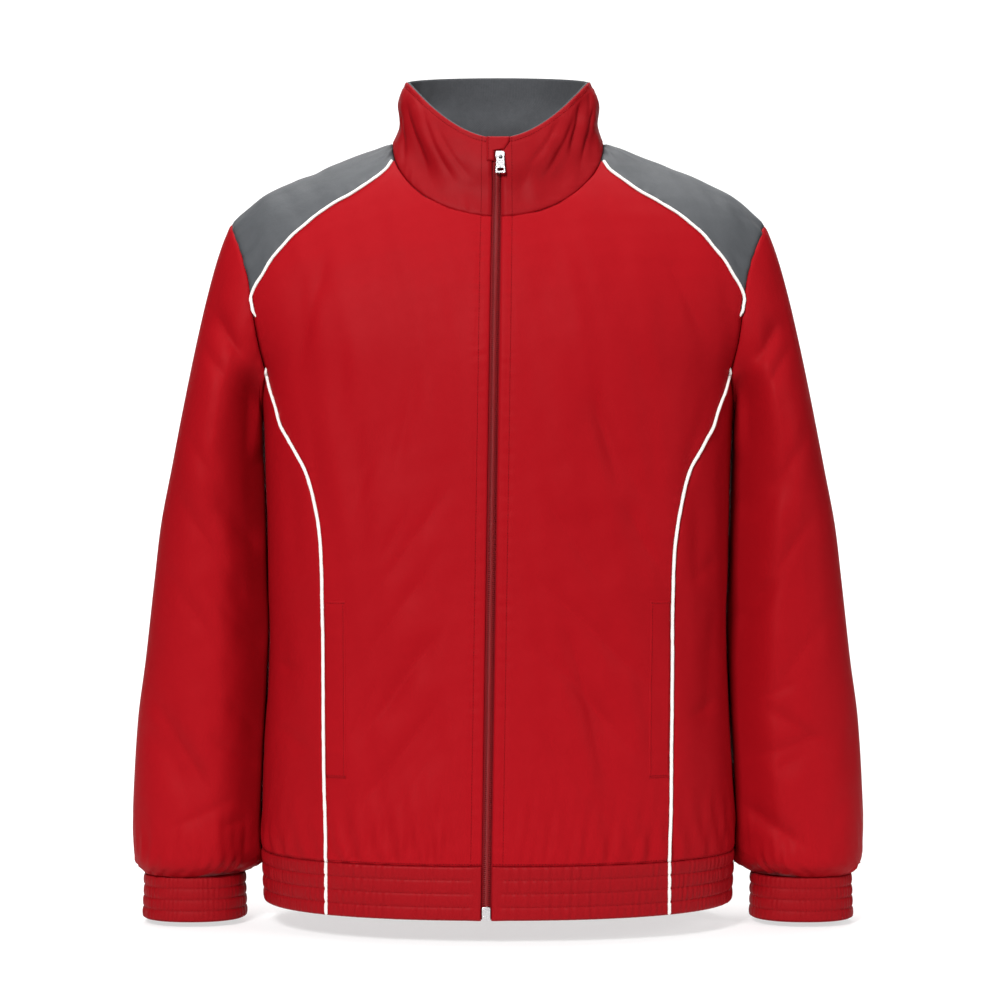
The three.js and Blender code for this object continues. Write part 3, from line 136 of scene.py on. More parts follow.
@dataclass(frozen=True)
class Fold:
    """A soft trough, or a ridge where deep is negative, along a line seen from the front."""

    x0: float
    z0: float
    x1: float
    z1: float
    wide: float
    deep: float
    face: Face = Face.FRONT

    def depth(self, across: Array, along: Array) -> Array:
        """How far the cloth sinks at points given across and along.

        Args:
            across: horizontal places.
            along: vertical places.
        Returns:
            Depths in the units of deep.
        """
        length = math.hypot(self.x1 - self.x0, self.z1 - self.z0)
        dir_x, dir_z = (self.x1 - self.x0) / length, (self.z1 - self.z0) / length
        run = ((across - self.x0) * dir_x + (along - self.z0) * dir_z) / length
        away = (across - self.x0) * dir_z - (along - self.z0) * dir_x
        ends = smooth_step(run / 0.35) * smooth_step((1 - run) / 0.35)
        return self.deep * ends * np.exp(-(np.abs(away / self.wide) ** 1.5))


def fold_table(rows: Iterable[Sequence[float]], face: Face) -> tuple[Fold, ...]:
    """Folds from rows of x0, z0, x1, z1, wide and deep on one face."""
    return tuple(Fold(*row, face=face) for row in rows)


# Large folds of the body, then the finer ones: x0, z0, x1, z1, wide, deep
BODY_FRONT_FOLDS = (
    (-173, -105, -180, -216, 13, 2.4), (-118, -200, -126, -340, 15, 3.4), (81, -225, 112, -330, 14, 3.4),
    (71, -326, 110, -410, 14, 3.2), (52, -420, 104, -560, 15, 4), (92, -500, 108, -630, 14, 3),
    (-56, -440, -112, -540, 14, 3), (-34, -510, -116, -612, 15, 3.6), (-150, -98, -187, -240, 7, 1.9),
    (-133, -170, -147, -290, 8, 1.5), (-66, -200, -96, -325, 8, 2.5), (-93, -238, -138, -372, 8, 1.9),
    (-104, -314, -133, -408, 7, 1.2), (-25, -296, -130, -445, 8, 1.9), (-42, -366, -146, -512, 8, 1.9),
    (-74, -330, -112, -400, 6, 1.3), (-33, -424, -138, -566, 7, 2.2), (-29, -481, -143, -630, 8, 2.2),
    (-42, -534, -113, -636, 7, 1.8), (-96, -470, -140, -560, 6, 1.3), (-170, -234, -157, -366, 6, 1.1),
    (-124, -560, -146, -640, 6, 1.3), (143, -94, 195, -208, 7, 2.2), (107, -160, 160, -286, 7, 1.9),
    (50, -182, 147, -362, 8, 2.5), (81, -226, 112, -330, 6, 2.2), (37, -318, 102, -424, 8, 2.6),
    (19, -384, 160, -520, 8, 2.6), (15, -437, 147, -582, 7, 2.6), (19, -507, 118, -642, 7, 2.1),
    (63, -437, 99, -600, 6, 2.2), (107, -322, 150, -408, 6, 1.9), (187, -234, 160, -358, 6, 1.3),
    (122, -470, 146, -600, 7, 1.5), (30, -240, 66, -320, 8, 1.4), (118, -44, 150, -92, 7, 1.4),
    (-112, -42, -128, -88, 7, 1.4), (186, -300, 176, -420, 8, 1.8), (-188, -296, -180, -410, 8, 1.6),
    (196, -420, 186, -560, 9, 1.8), (-196, -430, -188, -540, 9, 1.4), (-206, -476, -172, -488, 5, 1.4),
    (-204, -530, -166, -560, 6, 1.4), (204, -508, 168, -530, 6, 1.6), (200, -380, 172, -410, 6, 1.4),
)
BODY_BACK_FOLDS = (
    (-150, -150, -120, -300, 18, 7), (150, -140, 115, -310, 18, 7), (-90, -420, -30, -520, 18, 6),
    (100, -470, 40, -590, 18, 7), (-146, -150, -122, -280, 7, 2), (148, -150, 120, -290, 7, 2),
    (-60, -240, 0, -330, 14, 2.4), (60, -260, 10, -360, 14, 2.2), (-120, -520, -60, -610, 12, 2.4),
    (130, -380, 90, -470, 12, 2.4), (-20, -560, 10, -640, 10, 1.8), (-90, -40, -40, -100, 14, 1.8),
    (80, -44, 40, -110, 14, 1.8), (-170, -380, -150, -500, 10, 2), (168, -560, 150, -640, 9, 1.8),
)
SLEEVE_FRONT_FOLDS = (
    (-262, -150, -226, -212, 13, 6), (-268, -318, -215, -380, 14, 4.5), (-250, -390, -212, -478, 13, 4),
    (-326, -530, -260, -612, 14, 4), (258, -160, 228, -216, 13, 6), (262, -300, 216, -350, 14, 4.5),
    (250, -400, 214, -452, 13, 4), (222, -604, 286, -652, 12, 4), (246, -580, 296, -552, 12, 3.5),
    (-256, -160, -230, -206, 6, 2.8), (-280, -177, -214, -262, 7, 2.6), (-289, -258, -221, -376, 8, 2.8),
    (-298, -313, -221, -436, 7, 2.4), (-257, -331, -212, -390, 6, 2.4), (-307, -386, -225, -508, 8, 2.4),
    (-271, -399, -212, -480, 6, 2.6), (-321, -500, -252, -612, 7, 3.4), (-266, -545, -214, -580, 6, 2.6),
    (-310, -636, -232, -600, 6, 2.4), (-250, -509, -212, -558, 6, 2.6), (-300, -560, -262, -650, 7, 1.8),
    (-330, -600, -318, -660, 6, 1.6), (-252, -110, -262, -168, 7, 1.8), (-256, -630, -228, -624, 5, 2.4),
    (256, -168, 234, -210, 6, 2.6), (274, -177, 218, -270, 7, 2.6), (290, -250, 224, -376, 8, 2.8),
    (298, -325, 222, -444, 7, 2.6), (265, -386, 216, -462, 6, 2.6), (312, -420, 240, -520, 8, 2),
    (226, -509, 322, -570, 7, 2.8), (219, -606, 284, -652, 6, 3.2), (222, -570, 304, -542, 6, 2.8),
    (236, -514, 276, -494, 6, 2.2), (252, -104, 262, -160, 7, 1.8), (320, -590, 296, -650, 7, 1.8),
    (262, -630, 256, -668, 5, 1.8), (330, -500, 322, -600, 7, 1.6),
)
SLEEVE_BACK_FOLDS = (
    (-300, -350, -240, -430, 17, 8), (305, -360, 240, -440, 17, 8), (-310, -520, -250, -560, 16, 6),
    (315, -530, 250, -585, 16, 6), (-292, -356, -250, -416, 7, 2.2), (298, -366, 250, -426, 7, 2.2),
    (-280, -240, -240, -300, 12, 3), (282, -236, 240, -300, 12, 3), (-320, -600, -270, -640, 8, 2.2),
    (320, -596, 274, -640, 8, 2.2), (-262, -160, -250, -230, 10, 2.4), (262, -160, 250, -230, 10, 2.4),
)
# Collar folds by turn in radians times the aspect and share of the height
COLLAR_FOLDS = (
    (-1.527, 0.85, -0.742, 0.1, 0.14, 4), (1.353, 0.95, 0.873, 0.35, 0.13, 4.5),
    (3.272, 0.8, 3.883, 0.2, 0.15, 3), (-1.45, 0.8, -0.8, 0.16, 0.05, 1.2),
    (1.32, 0.9, 0.92, 0.42, 0.045, 1.4), (1.62, 0.95, 1.25, 0.5, 0.07, 1.4),
    (-1.9, 0.9, -1.5, 0.3, 0.08, 1.2), (0.5, 0.75, 0.25, 0.2, 0.09, 0.9),
    (-0.5, 0.9, -0.35, 0.35, 0.08, 0.8), (2.3, 0.85, 2.5, 0.2, 0.09, 1.4),
    (-2.6, 0.85, -2.4, 0.2, 0.09, 1.4), (-3.4, 0.8, -3.1, 0.2, 0.1, 1.2),
    (-1.15, 0.95, -0.45, 0.25, 0.05, 2), (-1.75, 0.6, -1.15, 0.05, 0.06, 2.2),
    (-0.9, 0.9, -0.3, 0.4, 0.04, 1.4), (1.15, 0.85, 0.5, 0.3, 0.05, 2), (1.6, 0.75, 1, 0.15, 0.05, 2.2),
    (0.9, 0.95, 0.35, 0.55, 0.04, 1.4),
)


class Ripple:
    """Seeded smooth waves of irregular spacing, the same in every run."""

    def __init__(self, seed: int, pitch: float, count: int = 5) -> None:
        """Draw the waves.

        Args:
            seed: seed of the draw.
            pitch: mean distance between crests.
            count: number of waves that are summed.
        """
        rng = np.random.default_rng(seed)
        self.rates = 2 * math.pi / (pitch * rng.uniform(0.72, 1.5, count))
        self.phases = rng.uniform(0, 2 * math.pi, count)
        self.drift = rng.uniform(-0.35, 0.35, count)

    def __call__(self, along: Array, across: Array | float = 0.0) -> Array:
        """Height from -1 to 1 at places along, drifting slowly across."""
        total = 0.0
        for rate, phase, drift in zip(self.rates, self.phases, self.drift):
            total = total + np.sin(rate * (along + drift * across) + phase)
        return total / math.sqrt(2.2 * len(self.rates))


@dataclass(frozen=True)
class BodyForm:
    """Sizes of the body in millimetres and the surface that they give."""

    notch_z: float = -218.0
    armpit_drop: float = 40.0
    hem_top: float = -652.0
    hem_bottom: float = -700.0
    neck_half: float = 98.0
    neck_drop: float = 77.0
    neck_front: float = 95.0
    neck_back: float = 80.0
    nape_rise: float = 31.0
    tip_out: float = 246.6
    front_bow: float = 1.75
    back_bow: float = 2.3
    lip_gap: float = 4.5
    zip_lean: float = 0.0145
    yoke_back_turn: float = 0.45
    yoke_back_neck: float = 0.21
    torso: Profile = Profile(("z", "half", "front", "back", "square"), (
        (-218, 220, 131, 130, 2.7),
        (-258, 217, 133, 131, 2.7),
        (-330, 214, 135, 131, 2.65),
        (-400, 212.5, 137, 130, 2.6),
        (-445, 211, 139, 129, 2.5),
        (-500, 213, 142, 130, 2.45),
        (-565, 216.5, 146, 133, 2.35),
        (-637, 219, 149, 137, 2.3),
        (-652, 218, 148.5, 137, 2.3),
        (-700, 215.5, 147, 136, 2.25),
    ))
    armhole: Profile = Profile(("rise", "out", "fore"), (
        (0, 211, 0.4367),
        (0.22, 218, 0.56),
        (0.4, 221.5, 0.63),
        (0.6, 226, 0.68),
        (0.8, 235, 0.73),
        (0.92, 242.5, 0.77),
        (1, 246.6, 0.8),
    ))
    shoulder: Profile = Profile(("share", "z"), (
        (0, 12),
        (0.2, 9),
        (0.393, 0),
        (0.527, -11),
        (0.673, -25.5),
        (0.77, -35),
        (0.864, -46),
        (0.912, -54),
        (0.961, -65),
        (1, -75),
    ))
    yoke_seam: Profile = Profile(("x", "z"), (
        (95, -19),
        (102, -31),
        (129, -52),
        (147, -62),
        (165, -74),
        (182, -89),
        (194, -102),
        (206, -117),
        (214, -132),
        (223.6, -144),
    ))
    princess: Profile = Profile(("z", "x"), (
        (-218, 211),
        (-233, 207),
        (-247, 201),
        (-265, 195),
        (-278, 187),
        (-306, 172),
        (-340, 162.5),
        (-371, 157.6),
        (-422, 155.7),
        (-576, 154),
        (-652, 152),
        (-700, 149),
    ))
    back_seam: Profile = Profile(("z", "x"), (
        (-218, 211),
        (-265, 205),
        (-340, 194),
        (-445, 186),
        (-565, 188),
        (-652, 188),
        (-700, 186),
    ))

    def zip_middle(self, z) -> Array:
        """Place across of the middle of the zip at a height."""
        return self.zip_lean * np.asarray(z, float)

    def zip_edge(self, z, side: Side) -> Array:
        """Distance from the middle to the lip of one side at a height."""
        return self.lip_gap + side.value * self.zip_middle(z)

    def ring_angle(self, z, x, face: Face) -> Array:
        """Angle round the body of the point x out from the middle at a height."""
        row = self.torso.read(z)
        share = np.clip(x / row["half"], -1, 1)
        rest = (1 - np.abs(share) ** row["square"]) ** (1 / row["square"])
        angle = np.arctan2(share, rest)
        return angle if face is Face.FRONT else math.pi - angle

    def ring_point(self, z, angle) -> Array:
        """Point of the body outline at a height and an angle, 0 in front."""
        row = self.torso.read(z)
        sine, cosine = np.sin(angle), np.cos(angle)
        square = row["square"]
        reach = (np.abs(sine) ** square + np.abs(cosine) ** square) ** (-1 / square)
        depth = np.where(cosine > 0, row["front"], row["back"])
        return stack(row["half"] * sine * reach, -depth * cosine * reach, z)

    def ridge(self, share, turn) -> Array:
        """Height of the shoulder ridge, run on over the neck opening."""
        inside = np.maximum(0, 1 - (share / 0.393) ** 2)
        rise = np.where(np.asarray(turn) > 0, self.nape_rise * inside**2, 0)
        return self.shoulder.read(share)["z"] + rise

    def arch_point(self, share, turn) -> Array:
        """Point of chest, shoulder and upper back.

        Args:
            share: share of the way out to the armhole.
            turn: -1 on the chest, 0 on the ridge, 1 on the back.
        Returns:
            Points on the wearer's left.
        """
        share, turn = np.broadcast_arrays(np.asarray(share, float), np.asarray(turn, float))
        bow = np.where(turn < 0, self.front_bow, self.back_bow)
        angle = np.abs(turn) * math.pi / 2
        rise = np.maximum(np.cos(angle), 0) ** (2 / bow)
        arm = self.armhole.read(rise)
        base = self.torso.read(self.notch_z)
        square = float(base["square"])
        depth = np.where(turn < 0, base["front"], base["back"]) * np.sin(angle) ** (2 / bow)
        inward = 1 - arm["fore"] ** square
        around = np.maximum(1 - share**square * inward, 0) ** (1 / square)
        z = mix(self.notch_z, self.ridge(share, turn), rise)
        return stack(share * arm["out"], np.where(turn < 0, -1, 1) * depth * around, z)

    def arch_place(self, x, z, face: Face) -> tuple[Array, Array]:
        """Share and turn of the arch point x out at height z."""
        sign = float(face.value)
        bow = self.front_bow if face is Face.FRONT else self.back_bow

        def rise_of(share):
            top = self.ridge(share, sign)
            return np.clip((z - self.notch_z) / (top - self.notch_z), 0, 1)

        share = np.asarray(x, float) / self.tip_out
        for _ in range(30):
            share = np.minimum(1, x / self.armhole.read(rise_of(share))["out"])
        angle = np.arccos(np.minimum(1, rise_of(share) ** (bow / 2)))
        return share, sign * angle * 2 / math.pi

    def neck_place(self, angle) -> tuple[Array, Array]:
        """Place of a point of the front neck seam, angle 0 in the middle."""
        x = self.neck_half * np.sin(angle)
        return self.arch_place(x, -self.neck_drop * np.cos(angle), Face.FRONT)

    def seam_place(self, turn) -> tuple[Array, Array]:
        """Place of a point of the neck seam beside and behind the ridge, by its turn."""
        turn = np.asarray(turn, float)
        share = np.full(turn.shape, self.neck_half / self.tip_out)
        for _ in range(30):
            point = self.arch_point(share, turn)
            front = np.minimum(0, point[..., 2]) / self.neck_drop
            drop = np.where(turn < 0, front, point[..., 1] / self.neck_back)
            x = self.neck_half * np.sqrt(np.maximum(0, 1 - drop**2))
            scale = point[..., 0] / np.maximum(share, 1e-6)
            share = mix(share, x / np.maximum(scale, 1.0), 0.5)
        return share, turn

    @property
    def yoke_start(self) -> float:
        """Angle on the neck seam where the yoke begins."""
        return math.asin(self.yoke_seam.rows[0][0] / self.neck_half)

    @property
    def nape_turn(self) -> float:
        """Turn of the middle of the back neck."""
        share = self.neck_back / self.torso.rows[0][3]
        return math.asin(share ** (self.back_bow / 2)) * 2 / math.pi

    def yoke_front(self, count: int) -> tuple[Array, Array]:
        """Places along the seam between yoke and front, from the neck to the armhole."""
        rows = self.yoke_seam.rows
        x = np.linspace(rows[0][0], rows[-1][0], count)
        share, turn = self.arch_place(x, self.yoke_seam.read(x)["z"], Face.FRONT)
        neck = self.neck_place(self.yoke_start)
        share[0], turn[0] = neck[0], neck[1]
        share[-1] = 1
        return share, turn

    def yoke_back(self, count: int) -> tuple[Array, Array]:
        """Places along the seam between yoke and back, from the neck to the armhole."""
        share, turn = self.seam_place(np.array([self.yoke_back_neck]))
        t = np.linspace(0, 1, count)
        return mix(share[0], 1.0, t), mix(turn[0], self.yoke_back_turn, t)


class Quiver:
    """Seeded smooth unevenness of the cloth, a function of place alone."""

    def __init__(self, seed: int, pitch: float, count: int = 9) -> None:
        """Draw the waves.

        Args:
            seed: seed of the draw.
            pitch: mean distance between crests in millimetres.
            count: number of waves that are summed.
        """
        rng = np.random.default_rng(seed)
        directions = unit(rng.normal(size=(count, 3)) * np.array([1.0, 0.3, 0.35]))
        self.waves = directions * (2 * math.pi / (pitch * rng.uniform(0.7, 1.6, (count, 1))))
        self.phases = rng.uniform(0, 2 * math.pi, count)

    def __call__(self, points: Array) -> Array:
        """Height from about -1 to 1 at each point."""
        return np.sin(points @ self.waves.T + self.phases).sum(axis=-1) / math.sqrt(2 * len(self.phases))


SOFT_SWELL = Quiver(11, 62.0)
FINE_SWELL = Quiver(12, 23.0)


def seen_folds(folds: Iterable[Fold], points: Array, facing: Array) -> Array:
    """Sum of the folds at points, each on its own face.

    Args:
        folds: the folds.
        points: points on the cloth.
        facing: from -1 in front to 1 behind.
    Returns:
        Depths in millimetres.
    """
    depth = np.zeros(points.shape[:-1])
    for item in folds:
        seen = smooth_step(item.face.value * facing * 2.5)
        depth += seen * item.depth(points[..., 0], points[..., 2])
    return depth


BODY_FOLDS = fold_table(BODY_FRONT_FOLDS, Face.FRONT) + fold_table(BODY_BACK_FOLDS, Face.BACK)


@dataclass(frozen=True)
class Skin:
    """Outer skin of one side of the body, with folds and small unevenness."""

    side: Side
    form: BodyForm = BodyForm()
    folds: tuple[Fold, ...] = BODY_FOLDS
    hem_pucker: Ripple = field(default_factory=lambda: Ripple(21, 15.0))

    def away(self, points: Array) -> Array:
        """Directions away from the body, the same for every panel that meets there."""
        x, y, z = points[..., 0], points[..., 1], points[..., 2]
        across = np.sign(x) * np.abs(x / 220) ** 1.7 * 0.6
        depth = np.sign(y) * np.abs(y / 133) ** 1.7
        up = 0.8 * np.maximum(0, (z - self.form.notch_z) / 218) ** 1.5
        return unit(np.stack([across, depth, up], axis=-1))

    def folded(self, points: Array) -> Array:
        """Points of one side moved to the real side and sunk into its folds."""
        points = points * np.array([self.side.value, 1.0, 1.0])
        x, y, z = points[..., 0], points[..., 1], points[..., 2]
        from_zip = np.abs(x - self.form.zip_middle(z))
        beside_zip = np.where(y < 0, smooth_step((from_zip - 22) / 30), 1.0)
        beside_seam = smooth_step((235 - np.abs(x)) / 40)
        below_neck = smooth_step((-75 - z) / 40)
        above_hem = smooth_step((z - self.form.hem_top) / 25)
        depth = seen_folds(self.folds, points, y / 130) * beside_zip * beside_seam * above_hem
        calm = smooth_step((from_zip - 8) / 30) * smooth_step((z - self.form.hem_top) / 20)
        small = 0.8 * SOFT_SWELL(points) + 0.35 * FINE_SWELL(points)
        around = np.arctan2(x, -y) * 178
        over_hem = np.clip((z - self.form.hem_top) / 42, 0, None)
        fullness = 1.9 * self.hem_pucker(around, z) * np.exp(-(over_hem**1.4))
        fullness = fullness * smooth_step((z - self.form.hem_top) / 5)
        kept = depth * below_neck + small * calm * smooth_step((30 - z) / 60)
        kept = kept + fullness * smooth_step((from_zip - 16) / 20)
        return points - self.away(points) * kept[..., None]

    def ring(self, z, angle) -> Array:
        """Folded skin at a height and an angle round the body."""
        return self.folded(self.form.ring_point(z, angle))

    def arch(self, share, turn) -> Array:
        """Folded skin of chest, shoulder and upper back at a place."""
        return self.folded(self.form.arch_point(share, turn))


def grid_normals(grid: Array, wrap: bool) -> Array:
    """Unit directions across a grid of points.

    Args:
        grid: points in rows and columns.
        wrap: whether the last column joins the first.
    Returns:
        Directions in rows and columns.
    """
    if wrap:
        along = np.roll(grid, -1, axis=1) - np.roll(grid, 1, axis=1)
    else:
        along = np.gradient(grid, axis=1)
    return unit(np.cross(along, np.gradient(grid, axis=0)))


def lengths_along(grid: Array, axis: int) -> Array:
    """Distances along rows or columns of a grid, from its first point."""
    steps = np.linalg.norm(np.diff(grid, axis=axis), axis=-1)
    start = np.zeros_like(np.take(steps, [0], axis=axis))
    return np.concatenate([start, np.cumsum(steps, axis=axis)], axis=axis)


def ease_join(points: Array, row: int) -> Array:
    """Points of a grid with the bend between two stretches of rows made soft.

    Args:
        points: points in rows and columns.
        row: the row where the stretches meet.
    Returns:
        The points, moved only near that row and not at the last columns.
    """
    rows = np.arange(1, len(points) - 1) - row
    columns = np.arange(points.shape[1])[::-1]
    pull = 0.25 * np.exp(-(rows / 12.0) ** 2)[:, None] * smooth_step(columns / 4)[None, :]
    eased = points.copy()
    for _ in range(90):
        eased[1:-1] += pull[..., None] * (eased[2:] - 2 * eased[1:-1] + eased[:-2])
    return eased


@dataclass
class ClothGrid:
    """A grid of skin points of one cut piece, and what a builder needs to relieve its edges."""

    points: Array
    wrap: bool = False
    hub: tuple[float, float, float] = (0.0, 0.0, -420.0)

    def __post_init__(self) -> None:
        """Find the outward directions and the distances along both ways."""
        outward = grid_normals(self.points, self.wrap)
        facing = (outward * (self.points - np.array(self.hub))).sum()
        self.flip = facing < 0
        self.outward = -outward if self.flip else outward
        self.across = lengths_along(self.points, 1)
        self.along = lengths_along(self.points, 0)

    def from_edge(self, edge: str) -> Array:
        """Distance of every point from one edge: start, end, bottom or top."""
        if edge == "start":
            return self.across
        if edge == "end":
            return self.across[:, -1:] - self.across
        if edge == "bottom":
            return self.along
        return self.along[-1:, :] - self.along

    def raise_by(self, height: Array) -> None:
        """Move the points outward by a height in millimetres."""
        self.points = self.points + self.outward * height[..., None]

    def relieve(
        self, edge: str, seed: int, dip: float = 0.9, pucker: float = 0.45, pitch: float = 11.0,
    ) -> None:
        """Sink an edge into its seam and pucker the cloth beside it.

        Args:
            edge: which edge.
            seed: seed of the puckers.
            dip: depth of the seam in millimetres.
            pucker: height of the puckers in millimetres.
            pitch: distance between puckers in millimetres.
        """
        distance = self.from_edge(edge)
        way = self.along if edge in ("start", "end") else self.across
        waves = Ripple(seed, pitch)(way, distance)
        beside = np.exp(-((distance / 9.0) ** 2)) * smooth_step(distance / 2.5)
        self.raise_by(pucker * waves * beside - dip * np.exp(-((distance / 1.7) ** 2)))

    def groove(self, distance: Array, at: float, seed: int, deep: float = 0.5, pitch: float = 9.0) -> None:
        """Press a stitched line into the cloth and pucker it on both sides.

        Args:
            distance: distance of every point from the edge that the line follows.
            at: distance of the line from that edge.
            seed: seed of the puckers.
            deep: depth of the line in millimetres.
            pitch: distance between puckers in millimetres.
        """
        off = distance - at
        waves = Ripple(seed, pitch)(self.along, off)
        self.raise_by(0.3 * waves * np.exp(-((off / 5.0) ** 2)) - deep * np.exp(-((off / 1.3) ** 2)))


class MeshMaker:
    """Makes objects of the scene from arrays in millimetres."""

    @staticmethod
    def object_from(
        name: str, vertices: Array, faces: Sequence[Sequence[int]] | Array, smooth: bool = True,
    ) -> bpy.types.Object:
        """Make an object.

        Args:
            name: its name.
            vertices: points in millimetres.
            faces: corner numbers of each face.
            smooth: whether the faces are shaded smooth.
        Returns:
            The object, linked to the scene.
        """
        mesh = bpy.data.meshes.new(name)
        corners = faces.tolist() if isinstance(faces, np.ndarray) else list(faces)
        mesh.from_pydata((np.asarray(vertices, float) * MM).tolist(), [], corners)
        mesh.update()
        mesh.polygons.foreach_set("use_smooth", [smooth] * len(mesh.polygons))
        item = bpy.data.objects.new(name, mesh)
        bpy.context.scene.collection.objects.link(item)
        return item

    @staticmethod
    def shell(name: str, grid: ClothGrid, thick: float = 1.2) -> bpy.types.Object:
        """Make a thin closed shell behind a grid, with distances along the cloth as its UV map.

        Args:
            name: name of the object.
            grid: outer points.
            thick: thickness in millimetres.
        Returns:
            The object.
        """
        rows, columns = grid.points.shape[:2]
        count = rows * columns
        inner = grid.points - grid.outward * thick
        vertices = np.concatenate([grid.points.reshape(-1, 3), inner.reshape(-1, 3)])
        steps = columns if grid.wrap else columns - 1
        j, i = np.meshgrid(np.arange(rows - 1), np.arange(steps), indexing="ij")
        near = (i + 1) % columns
        low, high = j * columns, (j + 1) * columns
        outer = np.stack([low + i, low + near, high + near, high + i], -1)
        outer = outer.reshape(-1, 4)
        ring = np.arange(steps)
        nxt = (ring + 1) % columns
        top = (rows - 1) * columns
        edges = [
            np.stack([nxt, ring, ring + count, nxt + count], -1),
            np.stack([top + ring, top + nxt, top + nxt + count, top + ring + count], -1),
        ]
        if not grid.wrap:
            rise = np.arange(rows - 1) * columns
            last = rise + columns - 1
            edges.append(np.stack([rise, rise + columns, rise + columns + count, rise + count], -1))
            edges.append(np.stack([last + columns, last, last + count, last + columns + count], -1))
        faces = np.concatenate([outer, outer[:, ::-1] + count, *edges])
        if grid.flip:
            faces = faces[:, ::-1]
        item = MeshMaker.object_from(name, vertices, faces)
        flat = np.stack([grid.across.ravel(), grid.along.ravel()], -1) * MM
        flat = np.concatenate([flat, flat])
        layer = item.data.uv_layers.new(name="cloth")
        corners = np.empty(len(item.data.loops), dtype=np.int64)
        item.data.loops.foreach_get("vertex_index", corners)
        layer.data.foreach_set("uv", flat[corners].ravel())
        return item


def steps(count: int) -> Array:
    """Even shares from 0 to 1."""
    return np.linspace(0.0, 1.0, count)


@dataclass(frozen=True)
class SeamPlaces:
    """Places on the shoulders along the seams that neighbouring pieces share."""

    side: Side
    form: BodyForm = BodyForm()
    neck_share: float = 5 / 11

    def front_top(self, c: Array) -> tuple[Array, Array]:
        """Places along the top of a front, neck part first, for shares from the zip."""
        form = self.form
        first = math.asin(form.zip_edge(-form.neck_drop, self.side) / form.neck_half)
        tape = math.asin(14.2 / form.neck_half)
        keys = np.array([0.0, 0.2, 1.0])
        angles = np.interp(c / self.neck_share, keys, np.array([first, tape, form.yoke_start]))
        neck = form.neck_place(angles)
        x0, x1 = form.yoke_seam.rows[0][0], form.yoke_seam.rows[-1][0]
        x = mix(x0, x1, np.clip((c - self.neck_share) / (1 - self.neck_share), 0, 1))
        seam = form.arch_place(x, form.yoke_seam.read(x)["z"], Face.FRONT)
        on_neck = c <= self.neck_share
        return np.where(on_neck, neck[0], seam[0]), np.where(on_neck, neck[1], seam[1])

    def back_top(self, c: Array) -> tuple[Array, Array]:
        """Places along the top of a half back, for shares from its middle."""
        form = self.form
        t = np.clip(c / self.neck_share, 0, 1)
        neck = form.seam_place(mix(form.nape_turn, form.yoke_back_neck, t))
        out = np.clip((c - self.neck_share) / (1 - self.neck_share), 0, 1)
        start = form.seam_place(np.array([form.yoke_back_neck]))[0][0]
        on_neck = c <= self.neck_share
        share = np.where(on_neck, neck[0], mix(start, 1.0, out))
        return share, np.where(on_neck, neck[1], mix(form.yoke_back_neck, form.yoke_back_turn, out))

    def yoke(self, u: Array, w: Array) -> tuple[Array, Array]:
        """Places of the yoke, from neck to armhole and from front to back."""
        form = self.form
        front = form.yoke_front(len(u))
        back = form.yoke_back(len(u))
        neck = form.seam_place(mix(front[1][0], form.yoke_back_neck, w))
        arm_turn = mix(front[1][-1], form.yoke_back_turn, w)
        places = []
        for k, arm in ((0, np.ones(len(w))), (1, arm_turn)):
            across = mix(neck[k][:, None], arm[:, None], u[None, :])
            along = mix(front[k][None, :], back[k][None, :], w[:, None])
            low = mix(front[k][0], front[k][-1], u)[None, :]
            high = mix(back[k][0], back[k][-1], u)[None, :]
            places.append(across + along - mix(low, high, w[:, None]))
        return np.minimum(1, places[0]), places[1]


